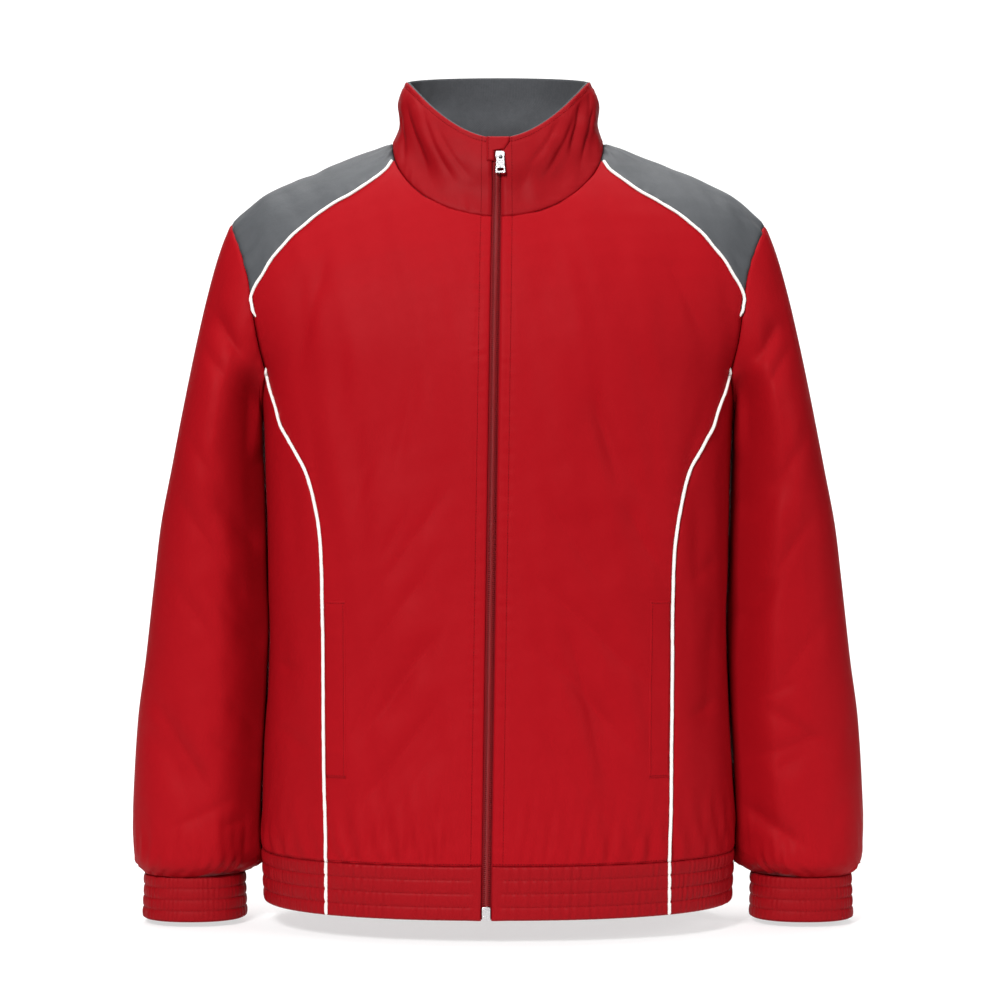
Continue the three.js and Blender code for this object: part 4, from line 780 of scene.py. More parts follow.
@dataclass
class BodyPanels:
    """The red cut pieces and the yoke of one side of the body."""

    side: Side
    skin: Skin = field(init=False)
    seams: SeamPlaces = field(init=False)

    def __post_init__(self) -> None:
        """Find the surface that the pieces share."""
        self.skin = Skin(self.side)
        self.seams = SeamPlaces(self.side)

    def front(self) -> ClothGrid:
        """Grid of the front, from the hem up to the neck and yoke seams."""
        form = self.skin.form
        c = steps(70)
        z = np.linspace(form.hem_top + 0.1, form.notch_z, 180)[:, None]
        x = mix(form.zip_edge(z, self.side), form.princess.read(z)["x"], c[None, :])
        lower = self.skin.ring(np.broadcast_to(z, x.shape), form.ring_angle(z, x, Face.FRONT))
        top_share, top_turn = self.seams.front_top(c)
        edge = float(form.zip_edge(form.notch_z, self.side))
        out = form.armhole.rows[0][1]
        start = mix(edge, out, c) / out
        t = steps(84)[1:, None]
        upper = self.skin.arch(mix(start, top_share, t), mix(-1.0, top_turn, t))
        grid = ClothGrid(ease_join(np.concatenate([lower, upper]), len(lower) - 1))
        seed = 40 + self.side.value
        grid.groove(grid.from_edge("start"), 9.6, seed)
        grid.relieve("end", seed + 10, dip=0.7)
        grid.relieve("top", seed + 20, dip=0.7, pucker=0.2)
        grid.relieve("start", seed + 30, dip=0.5, pucker=0.25)
        return grid

    def side_panel(self) -> ClothGrid:
        """Grid of the side panel, round under the arm to the plain seam behind."""
        form = self.skin.form
        t = steps(52)[None, :]
        level = steps(150)[:, None]
        bottom = form.hem_top + 0.1
        z = mix(bottom, form.notch_z, level)
        front = form.ring_angle(z, form.princess.read(z)["x"], Face.FRONT)
        back = form.ring_angle(z, form.back_seam.read(z)["x"], Face.BACK)
        dipped = mix(bottom, form.notch_z - form.armpit_drop * np.sin(math.pi * t), level)
        grid = ClothGrid(self.skin.ring(dipped, mix(front, back, t)))
        grid.relieve("start", 60 + self.side.value, dip=0.7)
        grid.relieve("end", 64 + self.side.value)
        return grid

    def half_back(self) -> Array:
        """Points of half of the back, from its middle to the side seam."""
        form = self.skin.form
        c = steps(51)
        z = np.linspace(form.hem_top + 0.1, form.notch_z, 120)[:, None]
        x = form.back_seam.read(z)["x"] * c[None, :]
        lower = self.skin.ring(np.broadcast_to(z, x.shape), form.ring_angle(z, x, Face.BACK))
        top_share, top_turn = self.seams.back_top(c)
        t = steps(60)[1:, None]
        upper = self.skin.arch(mix(c, top_share, t), mix(1.0, top_turn, t))
        return ease_join(np.concatenate([lower, upper]), len(lower) - 1)

    def yoke(self) -> ClothGrid:
        """Grid of the grey yoke over the shoulder."""
        share, turn = self.seams.yoke(steps(66), steps(76))
        grid = ClothGrid(self.skin.arch(share, turn))
        grid.raise_by(self.neck_wrinkles(grid))
        grid.relieve("bottom", 70 + self.side.value, dip=0.7, pucker=0.35)
        grid.relieve("start", 74 + self.side.value, dip=0.8, pucker=0.55, pitch=13)
        grid.relieve("end", 78 + self.side.value, dip=0.7, pucker=0.4)
        return grid

    def neck_wrinkles(self, grid: ClothGrid) -> Array:
        """Small drawn wrinkles of the yoke near the neck and the armhole."""
        near_neck = np.exp(-grid.from_edge("start") / 24)
        near_arm = np.exp(-grid.from_edge("end") / 20)
        waves = Ripple(84 + self.side.value, 21.0)(grid.along, 0.8 * grid.across)
        return 1.3 * waves * (near_neck + 0.8 * near_arm)


def back_panel() -> ClothGrid:
    """Grid of the whole back, from side seam to side seam."""
    right = BodyPanels(Side.RIGHT).half_back()
    left = BodyPanels(Side.LEFT).half_back()
    grid = ClothGrid(np.concatenate([right[:, :0:-1], left], axis=1))
    grid.relieve("start", 90)
    grid.relieve("end", 91)
    grid.relieve("top", 92)
    return grid


SLEEVE_FOLDS = fold_table(SLEEVE_FRONT_FOLDS, Face.FRONT) + fold_table(SLEEVE_BACK_FOLDS, Face.BACK)


@dataclass
class SleeveForm:
    """One sleeve: a loft from the armhole seam, then flattened tubes down to the cuff."""

    side: Side
    square: float = 2.2
    loft_z: float = -300.0
    cuff_top: float = -676.0
    clear: float = 1.6
    valley: float = 48.0
    recede: float = 0.42
    sections: Profile = Profile(("z", "out", "in", "mid", "deep"), (
        (-300, 302, 212, 2, 80),
        (-353, 312.5, 208.5, 4, 77),
        (-405, 319, 206.5, 5, 73),
        (-479, 327.5, 205.5, 6, 69),
        (-533, 334.6, 206, 6, 66),
        (-611, 339, 208.5, 4, 62),
        (-644, 338.7, 211.5, 2, 60),
        (-665, 336, 218, 0, 56),
        (-676, 327.2, 235.8, -2, 42.2),
    ))

    def section_point(self, z, angle) -> Array:
        """Point of the sleeve at a height; angle 0 is the outer edge, a quarter turn the front."""
        row = self.sections.read(z)
        cosine, sine = np.cos(angle), np.sin(angle)
        reach = (np.abs(cosine) ** self.square + np.abs(sine) ** self.square) ** (-1 / self.square)
        half = (row["out"] - row["in"]) / 2
        x = row["out"] - half + half * cosine * reach
        y = row["mid"] - row["deep"] * sine * reach
        beside = smooth_step((self.valley - (x - row["in"])) / self.valley)
        y = np.where(sine > 0, row["mid"] + (y - row["mid"]) * (1 - self.recede * beside), y)
        body = BodyForm().torso.read(z)
        depth = np.where(y < 0, body["front"], body["back"])
        rest = (1 - np.minimum(1, np.abs(y) / depth) ** body["square"]) ** (1 / body["square"])
        out = np.maximum(x, body["half"] * rest + self.clear)
        return stack(self.side.value * out, y, z)

    def armhole(self, front: Array, over: Array, behind: Array, under: Array) -> Array:
        """Points of the armhole seam as a closed loop.

        Args:
            front: shares of the way up the front.
            over: shares of the way over the yoke.
            behind: shares of the way up the back.
            under: shares of the way round under the arm, from the front.
        Returns:
            Points up the front, over the yoke, down the back and under the arm.
        """
        panels = BodyPanels(self.side)
        skin, form = panels.skin, panels.skin.form
        front_turn = float(form.yoke_front(7)[1][-1])
        turns = [mix(-1.0, front_turn, front), mix(front_turn, form.yoke_back_turn, over)]
        turns.append(mix(1.0, form.yoke_back_turn, behind))
        shoulder = skin.arch(1.0, np.concatenate(turns))
        z = form.notch_z - form.armpit_drop * np.sin(math.pi * under)
        start = form.ring_angle(form.notch_z, form.princess.rows[0][1], Face.FRONT)
        end = form.ring_angle(form.notch_z, form.back_seam.rows[0][1], Face.BACK)
        return np.concatenate([shoulder, skin.ring(z, mix(start, end, under))])

    def heart(self) -> Array:
        """Middle of the armhole seam, as the solids take it."""
        under = steps(7)[1:-1][::-1]
        return self.armhole(steps(7), steps(8)[1:], steps(7)[:-1][::-1], under).mean(axis=0)

    def folded(self, points: Array, fade) -> Array:
        """Points of the sleeve sunk into its folds, in Y alone."""
        z = points[..., 2]
        row = self.sections.read(z)
        facing = (points[..., 1] - row["mid"]) / row["deep"]
        depth = seen_folds(SLEEVE_FOLDS, points, facing) * fade
        depth = depth * smooth_step((z - self.cuff_top) / 30)
        small = (1.2 * SOFT_SWELL(points * 1.1 + 40.0) + 0.5 * FINE_SWELL(points + 70.0)) * fade
        small = small * smooth_step((z - self.cuff_top) / 20)
        moved = points.copy()
        moved[..., 1] -= np.sign(facing) * (depth + small * np.abs(facing))
        return moved

    def grid(self) -> ClothGrid:
        """Grid of the sleeve from the armhole to the cuff, the columns round the arm."""
        parts = (steps(31), steps(35)[1:], steps(31)[:-1][::-1], steps(28)[1:-1][::-1])
        loop = self.armhole(*parts)
        heart = self.heart()
        angles = np.arctan2(-(loop[:, 1] - heart[1]), loop[:, 2] - heart[2])
        down = (1 - np.cos(angles)) / 2
        out = stack(self.side.value * mix(0.52, 0.95, down), -0.12 * np.sin(angles), mix(-0.85, -0.3, down))
        start_pull = unit(out) * mix(118.0, 30.0, down)[:, None]
        end = self.section_point(np.full(angles.shape, self.loft_z), angles)
        further = self.section_point(np.full(angles.shape, self.loft_z - 6.0), angles)
        end_pull = (further - end) / 6.0 * mix(200.0, 55.0, down)[:, None]
        rows = []
        for t in steps(76):
            s = 1 - t
            point = loop * (s * s * (1 + 2 * t)) + end * (t * t * (1 + 2 * s))
            point = point + start_pull * (t * s * s) - end_pull * (t * t * s)
            rows.append(self.folded(self.beside_body(point, t), smooth_step(t / 0.4)))
        z = np.linspace(self.loft_z, self.cuff_top + 0.2, 122)[1:]
        tube = self.folded(self.section_point(z[:, None], angles[None, :]), 1.0)
        hub = (self.side.value * 272, 4, -440)
        grid = ClothGrid(np.concatenate([np.array(rows), tube]), wrap=True, hub=hub)
        grid.relieve("bottom", 100 + self.side.value, dip=0.9, pucker=0.5, pitch=14)
        self.blouse(grid)
        return grid

    def beside_body(self, points: Array, t: float) -> Array:
        """Loft points drawn towards the side of the body, so that no light shows between them."""
        x, y, z = points[:, 0] * self.side.value, points[:, 1], points[:, 2]
        body = BodyForm().torso.read(z)
        depth = np.where(y < 0, body["front"], body["back"])
        rest = (1 - np.minimum(1, np.abs(y) / depth) ** body["square"]) ** (1 / body["square"])
        near = body["half"] * rest + self.clear
        hang = smooth_step(t / 0.3) * smooth_step((18 - (x - near)) / 18) * smooth_step((-214 - z) / 46)
        hang = hang * smooth_step((1 - t) / 0.35)
        moved = points.copy()
        missing = smooth_step(t / 0.4) - smooth_step(t)
        beside = smooth_step((self.valley - (x - near)) / self.valley) * smooth_step((-190 - z) / 60)
        moved[:, 1] = np.where(y < 0, y * (1 - self.recede * beside * missing), y)
        moved[:, 0] = self.side.value * mix(x, np.maximum(near, x - 18), hang)
        return moved

    def blouse(self, grid: ClothGrid) -> None:
        """Gather the foot of the sleeve over its cuff."""
        above = np.clip(grid.points[..., 2] - self.cuff_top, 0, None)
        waves = Ripple(110 + self.side.value, 12.5)(grid.across, 0.7 * grid.along)
        fade = np.exp(-((above / 34) ** 1.5))
        grid.raise_by(1.9 * waves * fade * smooth_step(above / 4))


@dataclass(frozen=True)
class ElasticForm:
    """Stitched elastic channels: rows of puffs drawn in at their stitch lines."""

    channels: int = 4
    puff: float = 1.25
    gather: float = 0.6
    rows: int = 45

    def relief(self, share: Array, around: Array, seed: int, pitch: float) -> Array:
        """Height of the cloth over its skin.

        Args:
            share: share of the height of the casing.
            around: distance round the casing in millimetres.
            seed: seed of the gathers.
            pitch: distance between gathers in millimetres.
        Returns:
            Heights in millimetres.
        """
        place = share * self.channels
        swell = np.abs(np.sin(math.pi * place)) ** 0.4
        channel = np.clip(np.floor(place), 0, self.channels - 1)
        main = Ripple(seed, pitch)(around)
        height = self.puff * swell
        for k in range(self.channels):
            own = Ripple(seed + 7 * (k + 1), 0.75 * pitch)(around)
            here = channel == k
            height = height + here * self.gather * (0.75 * main + 0.65 * own) * mix(0.3, 1.0, swell)
        return height

    def stitch_shares(self) -> list[float]:
        """Shares of the height at which the stitch lines run."""
        return [k / self.channels for k in range(1, self.channels)]


@dataclass
class HemForm:
    """The elastic hem: the turned-up casing of fronts, sides and back."""

    form: BodyForm = BodyForm()
    elastic: ElasticForm = ElasticForm()
    radius: float = 180.0
    casing: float = 2.6

    @property
    def top(self) -> float:
        """Height of the top of the casing."""
        return self.form.hem_top - 0.15

    def front_skin(self, side: Side, z: Array, share: Array) -> Array:
        """Skin of the front stretch, by share of the way from the zip to the side."""
        edge = self.form.ring_angle(z, self.form.zip_edge(z, side), Face.FRONT)
        point = self.form.ring_point(z, mix(edge, math.pi / 2, share))
        return point * np.array([side.value, 1.0, 1.0])

    def front(self, side: Side) -> ClothGrid:
        """Grid of one front stretch, from the zip to the side."""
        length = self.radius * math.pi / 2
        around = np.linspace(0, length - 0.2, 280)[None, :]
        share = steps(self.elastic.rows)[:, None]
        z = mix(self.form.hem_bottom, self.top, share)
        points = self.front_skin(side, np.broadcast_to(z, (self.elastic.rows, 280)), around / length)
        grid = ClothGrid(points)
        height = self.elastic.relief(share, around, 130 + side.value, 6.2)
        seam = float(self.form.princess.read(self.form.hem_bottom)["x"])
        from_piping = np.abs(np.abs(points[..., 0]) - seam)
        plain = smooth_step((around - 2) / 9)
        flat_zip = 1.1 * smooth_step(around / 1.2)
        beside = mix(0.45, 1.0, smooth_step((from_piping - 2) / 7))
        grid.raise_by(mix(flat_zip, height, plain) * beside)
        self.round_edges(grid, share)
        return grid

    def back(self) -> ClothGrid:
        """Grid of the back stretch, from side to side."""
        start = math.pi / 2
        angle = np.linspace(start + 0.0008, 3 * start - 0.0008, 400)[None, :]
        share = steps(self.elastic.rows)[:, None]
        z = mix(self.form.hem_bottom, self.top, share)
        beyond = angle > math.pi
        near = np.where(beyond, 2 * math.pi - angle, angle)
        points = self.form.ring_point(*np.broadcast_arrays(z, near)).copy()
        points[..., 0] *= np.where(beyond, -1.0, 1.0)
        grid = ClothGrid(points)
        grid.raise_by(self.elastic.relief(share, angle * self.radius, 137, 6.2))
        self.round_edges(grid, share)
        return grid

    def round_edges(self, grid: ClothGrid, share: Array) -> None:
        """Turn the casing in at its folded lower edge and at its seam."""
        low = np.exp(-((share / 0.018) ** 2))
        high = np.exp(-(((1 - share) / 0.018) ** 2))
        grid.raise_by(-1.0 * (low + 0.6 * high) * np.ones(grid.points.shape[:2]))


@dataclass
class CuffForm:
    """One elastic cuff: a ring of gathers below the blousing sleeve."""

    side: Side
    elastic: ElasticForm = ElasticForm(puff=1.3, gather=0.62, rows=41)
    top: float = -676.3
    bottom: float = -717.0
    out: float = 329.0
    inner: float = 234.0
    mid: float = -2.0
    deep: float = 44.0
    square: float = 2.2
    grow: float = 1.5
    tuck: float = 2.2

    def skin(self, z, angle) -> Array:
        """Skin of the cuff at a height; angle 0 is the outer edge, a quarter turn the front."""
        grow = self.grow * (self.top - z) / (self.top - self.bottom)
        cosine, sine = np.cos(angle), np.sin(angle)
        reach = (np.abs(cosine) ** self.square + np.abs(sine) ** self.square) ** (-1 / self.square)
        half = (self.out - self.inner) / 2 - self.tuck + grow
        deep = self.deep - self.tuck + grow
        x = (self.out + self.inner) / 2 + half * cosine * reach
        return stack(self.side.value * x, self.mid - deep * sine * reach, z)

    def grid(self) -> ClothGrid:
        """Grid of the cuff, the columns round the wrist."""
        columns = 236
        angle = (np.arange(columns) / columns * 2 * math.pi)[None, :]
        share = steps(self.elastic.rows)[:, None]
        z = mix(self.bottom, self.top, share)
        points = self.skin(np.broadcast_to(z, (self.elastic.rows, columns)), angle)
        grid = ClothGrid(points, wrap=True, hub=(self.side.value * 281.5, -2, -696))
        grid.raise_by(self.relief(share, angle))
        low = np.exp(-((share / 0.02) ** 2)) * np.ones(points.shape[:2])
        grid.raise_by(-1.0 * low)
        return grid

    def relief(self, share, angle) -> Array:
        """Puffs and gathers that close on themselves round the wrist."""
        around = 46.0 * angle
        blend = smooth_step((angle - 5.5) / (2 * math.pi - 5.5))
        lap = 46.0 * 2 * math.pi
        seed = 150 + self.side.value
        near = self.elastic.relief(share, around, seed, 4.6)
        far = self.elastic.relief(share, around - lap, seed, 4.6)
        return mix(near, far, blend)


@dataclass
class CollarForm:
    """The stand-up collar from the neck seam to its rim."""

    form: BodyForm = BodyForm()
    rim_half: float = 86.0
    rim_front_z: float = -5.0
    rim_side_z: float = 57.0
    rim_back_z: float = 72.0
    rim_front: float = 80.0
    rim_back: float = 74.0
    curve: float = 1.9
    height: float = 72.0
    aspect: float = 1.25
    swell: Profile = Profile(("share", "out"), ((0, 0), (0.3, -2.5), (0.65, 2.5), (1, 0)))
    folds: tuple[Fold, ...] = fold_table(COLLAR_FOLDS, Face.FRONT)

    def feet(self, side: Side, fine: int) -> Array:
        """Points of the neck seam of one side, from the zip to the middle behind."""
        form = self.form
        first = math.asin(form.zip_edge(-form.neck_drop, side) / form.neck_half)
        tape = math.asin(14.2 / form.neck_half)
        inner = np.linspace(first, tape, max(2, fine // 6))[:-1]
        front = form.neck_place(np.concatenate([inner, np.linspace(tape, form.yoke_start, 3 * fine)]))
        start = float(form.neck_place(form.yoke_start)[1])
        over = form.seam_place(mix(start, form.yoke_back_neck, steps(3 * fine)[1:]))
        behind = form.seam_place(mix(form.yoke_back_neck, form.nape_turn, steps(2 * fine)[1:]))
        share = np.concatenate([front[0], over[0], behind[0]])
        turn = np.concatenate([front[1], over[1], behind[1]])
        share[-1] = 0
        return form.arch_point(share, turn) * np.array([side.value, 1.0, 1.0])

    def point(self, foot: Array, share: Array, lift: float = 1.0) -> Array:
        """Point of the collar over a foot, at a share of the height.

        Args:
            foot: points of the neck seam.
            share: shares of the height.
            lift: how much of the folds shows.
        Returns:
            Points of the outer face.
        """
        seam_depth = np.where(foot[..., 1] < 0, self.form.neck_front, self.form.neck_back)
        angle = np.arctan2(foot[..., 0] / self.form.neck_half, -foot[..., 1] / seam_depth)
        sine, cosine = np.sin(angle), np.cos(angle)
        depth = np.where(cosine > 0, self.rim_front, self.rim_back)
        front_z = self.rim_front_z + (self.rim_side_z - self.rim_front_z) * np.abs(sine) ** self.curve
        back_z = mix(self.rim_side_z, self.rim_back_z, -cosine)
        rim = stack(self.rim_half * sine, -depth * cosine, np.where(cosine > 0, front_z, back_z))
        trough = sum(item.depth(angle * self.aspect, share) for item in self.folds)
        out = self.swell.read(share)["out"] - lift * trough
        return mix(foot, rim, np.asarray(share)[..., None]) + stack(sine, -cosine, 0.0) * out[..., None]

    def place(self, x: Array, z: Array) -> Array:
        """Point of the front of the collar that lies x across at the height z."""
        x, z = np.broadcast_arrays(np.asarray(x, float), np.asarray(z, float))
        foot_x = x.copy()
        share = np.full(x.shape, 0.5)
        point = np.zeros(x.shape + (3,))
        for _ in range(12):
            foot_z = -self.form.neck_drop * np.sqrt(np.maximum(1 - (foot_x / self.form.neck_half) ** 2, 0))
            foot = self.form.arch_point(*self.form.arch_place(np.abs(foot_x), foot_z, Face.FRONT))
            foot[..., 0] = foot_x
            point = self.point(foot, share)
            foot_x = foot_x + x - point[..., 0]
            share = share + (z - point[..., 2]) / self.height
        return point

    def grid(self) -> ClothGrid:
        """Grid of the outer collar, from one zip edge round the neck to the other."""
        right, left = self.feet(Side.RIGHT, 18), self.feet(Side.LEFT, 18)
        feet = np.concatenate([right, left[::-1][1:]])
        share = steps(44)[:, None]
        spread = np.broadcast_to(share, (44, len(feet)))
        points = self.point(np.broadcast_to(feet, (44,) + feet.shape), spread)
        grid = ClothGrid(points, hub=(0, 0, 0))
        grid.raise_by(self.slack(grid))
        grid.groove(grid.from_edge("top"), 4.6, 170, deep=0.55)
        grid.relieve("bottom", 171, dip=0.9, pucker=0.5)
        grid.relieve("top", 172, dip=0.5, pucker=0.15)
        return grid

    def slack(self, grid: ClothGrid) -> Array:
        """Soft unevenness of the collar, calm beside the zip and the seams."""
        ends = np.minimum(grid.from_edge("start"), grid.from_edge("end"))
        levels = np.minimum(grid.from_edge("top"), grid.from_edge("bottom"))
        calm = smooth_step(ends / 26) * smooth_step(levels / 16)
        return calm * (0.9 * SOFT_SWELL(grid.points * 1.5) + 0.6 * FINE_SWELL(grid.points))

    def lining(self) -> ClothGrid:
        """Grid of the lining, just inside the collar and a little over its rim."""
        right, left = self.feet(Side.RIGHT, 14), self.feet(Side.LEFT, 14)
        skip = 14 // 6
        feet = np.concatenate([right[skip - 1:], left[::-1][1:len(left) - skip + 1]])
        share = np.concatenate([steps(30) * 0.985, [1 + 1 / self.height]])[:, None]
        shape = (31, len(feet))
        points = self.point(np.broadcast_to(feet, shape + (3,)), np.broadcast_to(share, shape))
        grid = ClothGrid(points, hub=(0, 0, 0))
        grid.raise_by(np.full(shape, -1.85))
        grid.raise_by(0.4 * self.slack(grid) - 0.35 * np.abs(self.slack(grid)))
        return grid


def cross_frames(path: Array, normals: Array) -> tuple[Array, Array]:
    """Directions across a path and out from it, from rough outward directions.

    Args:
        path: points of the path.
        normals: rough outward direction at each point.
    Returns:
        Unit directions across and out.
    """
    along = unit(np.gradient(path, axis=0))
    across = unit(np.cross(along, normals))
    return across, unit(np.cross(across, along))


def rolling_mean(path: Array, reach: int) -> Array:
    """Mean of each point of a path and its neighbours within a reach."""
    share = np.ones(2 * reach + 1) / (2 * reach + 1)
    padded = np.pad(path, ((reach, reach), (0, 0)), "edge")
    return np.stack([np.convolve(column, share, "valid") for column in padded.T], -1)


def swept(name: str, path: Array, across: Array, out: Array, section: Array) -> bpy.types.Object:
    """Sweep a closed section along a path.

    Args:
        name: name of the object.
        path: points of the path.
        across: direction of the section's first axis at each point.
        out: direction of its second axis at each point.
        section: section points, one set for all or one for each path point.
    Returns:
        The object.
    """
    count = len(path)
    section = np.broadcast_to(section, (count,) + section.shape[-2:])
    sides = section.shape[1]
    vertices = path[:, None] + across[:, None] * section[..., :1] + out[:, None] * section[..., 1:]
    j, i = np.meshgrid(np.arange(count - 1), np.arange(sides), indexing="ij")
    near = (i + 1) % sides
    faces = np.stack([j * sides + i, j * sides + near, (j + 1) * sides + near, (j + 1) * sides + i], -1)
    faces = faces.reshape(-1, 4).tolist()
    faces.append(list(range(sides))[::-1])
    faces.append([(count - 1) * sides + k for k in range(sides)])
    return MeshMaker.object_from(name, vertices.reshape(-1, 3), faces)


@dataclass
class PipingForm:
    """Corded piping along the yoke seam, the armhole and the princess seam."""

    side: Side
    half: float = 1.55
    rise: float = 1.45
    foot: float = 0.55
    lean: float = 2.1
    show_above: float = -160.0
    show_below: float = -216.0

    def path(self) -> tuple[Array, Array, Array]:
        """Points on the skin, outward directions, and how far the cord leans on to the front."""
        panels = BodyPanels(self.side)
        skin, form = panels.skin, panels.skin.form
        share, turn = form.yoke_front(76)
        last_turn = float(turn[-1])
        down = np.linspace(last_turn, -1.0, 62)[1:]
        z = np.linspace(form.notch_z, form.hem_top, 190)[1:]
        seam = form.ring_angle(z, form.princess.read(z)["x"], Face.FRONT)
        hem = HemForm()
        z_hem = np.linspace(hem.top, form.hem_bottom + 0.6, 34)
        shares = (z_hem - form.hem_bottom) / (hem.top - form.hem_bottom)
        angle = form.ring_angle(z_hem, form.princess.read(form.hem_top)["x"], Face.FRONT)
        low = form.ring_point(z_hem, angle) * np.array([self.side.value, 1.0, 1.0])
        puffs = hem.elastic.puff * 0.55 * np.abs(np.sin(math.pi * 4 * shares)) ** 0.7
        low = low + skin.away(low) * puffs[:, None]
        path = np.concatenate([skin.arch(share, turn), skin.arch(1.0, down), skin.ring(z, seam), low])
        below = smooth_step(1 - (form.notch_z - z) / 60)
        lean = np.concatenate([np.zeros(76), np.ones(61), below, 0 * z_hem])
        lean[70:92] = smooth_step(np.linspace(0, 1, 22))
        return path, skin.away(path), lean

    def tucked(self, z: Array) -> Array:
        """How far the cord lies hidden in the armhole seam at each height, from 0 to 1."""
        count = np.arange(len(z))
        below = smooth_step((self.show_above - z) / 10) * (count > 60)
        return below * smooth_step((z - self.show_below) / 9)

    def make(self) -> bpy.types.Object:
        """Make the cord."""
        path, rough, lean = self.path()
        path[0] = mix(path[0], path[2], 0.5)
        near_tip = np.exp(-(((np.arange(len(path)) - 76) / 9.0) ** 2))[:, None]
        eased = rolling_mean(path, 6)
        path = mix(path, eased, near_tip)
        across, out = cross_frames(path, rough)
        inward = np.sign((across[:, :1] * self.side.value))
        across = across * np.where(inward == 0, 1, inward)
        shift = -lean[:, None] * across * self.lean
        turns = np.arange(10) / 10 * 2 * math.pi
        flat = np.stack([self.half * np.cos(turns), self.foot + self.rise * np.sin(turns)], -1)
        tucked = self.tucked(path[:, 2])
        path = path - out * (3.6 * tucked)[:, None]
        wobble = 1 - 0.45 * tucked + 0.06 * Ripple(190 + self.side.value, 17.0)(np.arange(len(path)) * 2.6)
        sections = flat[None] * wobble[:, None, None]
        hem_rows = np.arange(len(path)) >= len(path) - 34
        nip = np.abs(np.sin(math.pi * 4 * np.linspace(1, 0, 34)))
        sections[hem_rows] *= mix(0.62, 1.0, smooth_step(nip / 0.45))[:, None, None]
        smooth = rolling_mean(shift, 4)
        return swept(f"piping_{self.side.word}_cord", path + smooth, across, out, sections)


@dataclass
class ZipForm:
    """The zip up the middle of the front and of the collar."""

    form: BodyForm = BodyForm()
    collar: CollarForm = field(default_factory=CollarForm)
    tape_half: float = 12.0
    tape_face: float = -1.8
    pitch: float = 1.75

    def points(self, z: Array, across: float) -> Array:
        """Skin points at heights, a distance across from the middle of the zip."""
        z = np.asarray(z, float)
        x = self.form.zip_middle(z) + across
        ring = self.form.ring_point(z, self.form.ring_angle(z, np.abs(x), Face.FRONT))
        arch_z = np.clip(z, self.form.notch_z, -self.form.neck_drop)
        arch = self.form.arch_point(*self.form.arch_place(np.abs(x), arch_z, Face.FRONT))
        collar = self.collar.place(x, np.clip(z, -self.form.neck_drop, -9.0))
        on_ring = (z <= self.form.notch_z)[:, None]
        on_collar = (z > -self.form.neck_drop)[:, None]
        points = np.where(on_ring, ring, np.where(on_collar, collar, arch))
        points[:, 0] = x
        return points

    def heights(self, gap: float, low: float = -699.0, high: float = -10.0) -> Array:
        """Heights spaced evenly along the zip."""
        z = np.linspace(low, high, 1200)
        run = lengths_along(self.points(z, 0.0)[:, None], 0)[:, 0]
        return np.interp(np.arange(0, run[-1], gap), run, z)

    def frames(self, z: Array) -> tuple[Array, Array, Array]:
        """Middle points, directions along the zip and outward directions."""
        middle = self.points(z, 0.0)
        along = unit(np.gradient(middle, axis=0))
        out = unit(stack(0.0, -along[:, 2], along[:, 1]))
        return middle, along, out

    def tape(self) -> bpy.types.Object:
        """Make the tape as one thin band with a ridge under the chain."""
        z = self.heights(3.0)
        middle, _, out = self.frames(z)
        offsets = np.array([-12, -9, -6, -4.4, -3.3, -2.2, 0, 2.2, 3.3, 4.4, 6, 9, 12], float)
        ridge = np.array([0, 0, 0, 0, 0.1, 0.55, 0.6, 0.55, 0.1, 0, 0, 0, 0])
        rows = [self.points(z, float(offset)) for offset in offsets]
        points = np.stack(rows, axis=1) + out[:, None] * (self.tape_face + ridge)[None, :, None]
        grid = ClothGrid(points)
        return MeshMaker.shell("zip_tape_band", grid, 0.7)

    def teeth(self) -> bpy.types.Object:
        """Make the chain: two rows of coil turns that mesh in the middle."""
        z = self.heights(self.pitch / 2, low=-689.0, high=-16.0)
        middle, along, out = self.frames(z)
        turn = np.arange(8) / 8 * 2 * math.pi + math.pi / 8
        ring = np.stack([np.cos(turn), np.sin(turn)], -1)
        stations = np.array([
            [-3.0, 0.55, 0.0], [-2.6, 1.0, 0.0], [0.2, 1.0, 0.0], [1.0, 1.12, 0.0], [1.35, 0.7, 0.0],
        ])
        vertices, faces = [], []
        across = np.array([1.0, 0.0, 0.0])
        for k, (centre, up, off) in enumerate(zip(middle, along, out)):
            side = 1 if k % 2 else -1
            base = len(vertices)
            for x, size, lift in stations:
                heart = centre + across * side * x * -1 + off * (self.tape_face + 1.05 + lift)
                for c, s in ring:
                    vertices.append(heart + up * c * size * 0.66 + off * s * size * 0.72)
            for j in range(len(stations) - 1):
                for i in range(8):
                    a, b = base + 8 * j + i, base + 8 * j + (i + 1) % 8
                    faces.append([a, b, b + 8, a + 8] if side < 0 else [a + 8, b + 8, b, a])
            last = base + 8 * (len(stations) - 1)
            for first in (base, last):
                faces.append([first + i for i in range(8)])
        item = MeshMaker.object_from("zip_chain", np.array(vertices), faces)
        make_faces_outward(item)
        return item


def make_faces_outward(item: bpy.types.Object) -> None:
    """Turn the faces of a closed mesh outward."""
    mesh = bmesh.new()
    mesh.from_mesh(item.data)
    bmesh.ops.recalc_face_normals(mesh, faces=mesh.faces)
    mesh.to_mesh(item.data)
    mesh.free()


@dataclass(frozen=True)
class PlateFrame:
    """Where a small metal plate lies: its middle and the directions of its own axes."""

    at: Array
    across: Array
    up: Array

    def matrix(self) -> Array:
        """Turn plate coordinates in millimetres into the frame's metres."""
        result = np.eye(4)
        result[:3, 0] = self.across * MM
        result[:3, 1] = self.up * MM
        result[:3, 2] = np.cross(self.across, self.up) * MM
        result[:3, 3] = self.at * MM
        return result


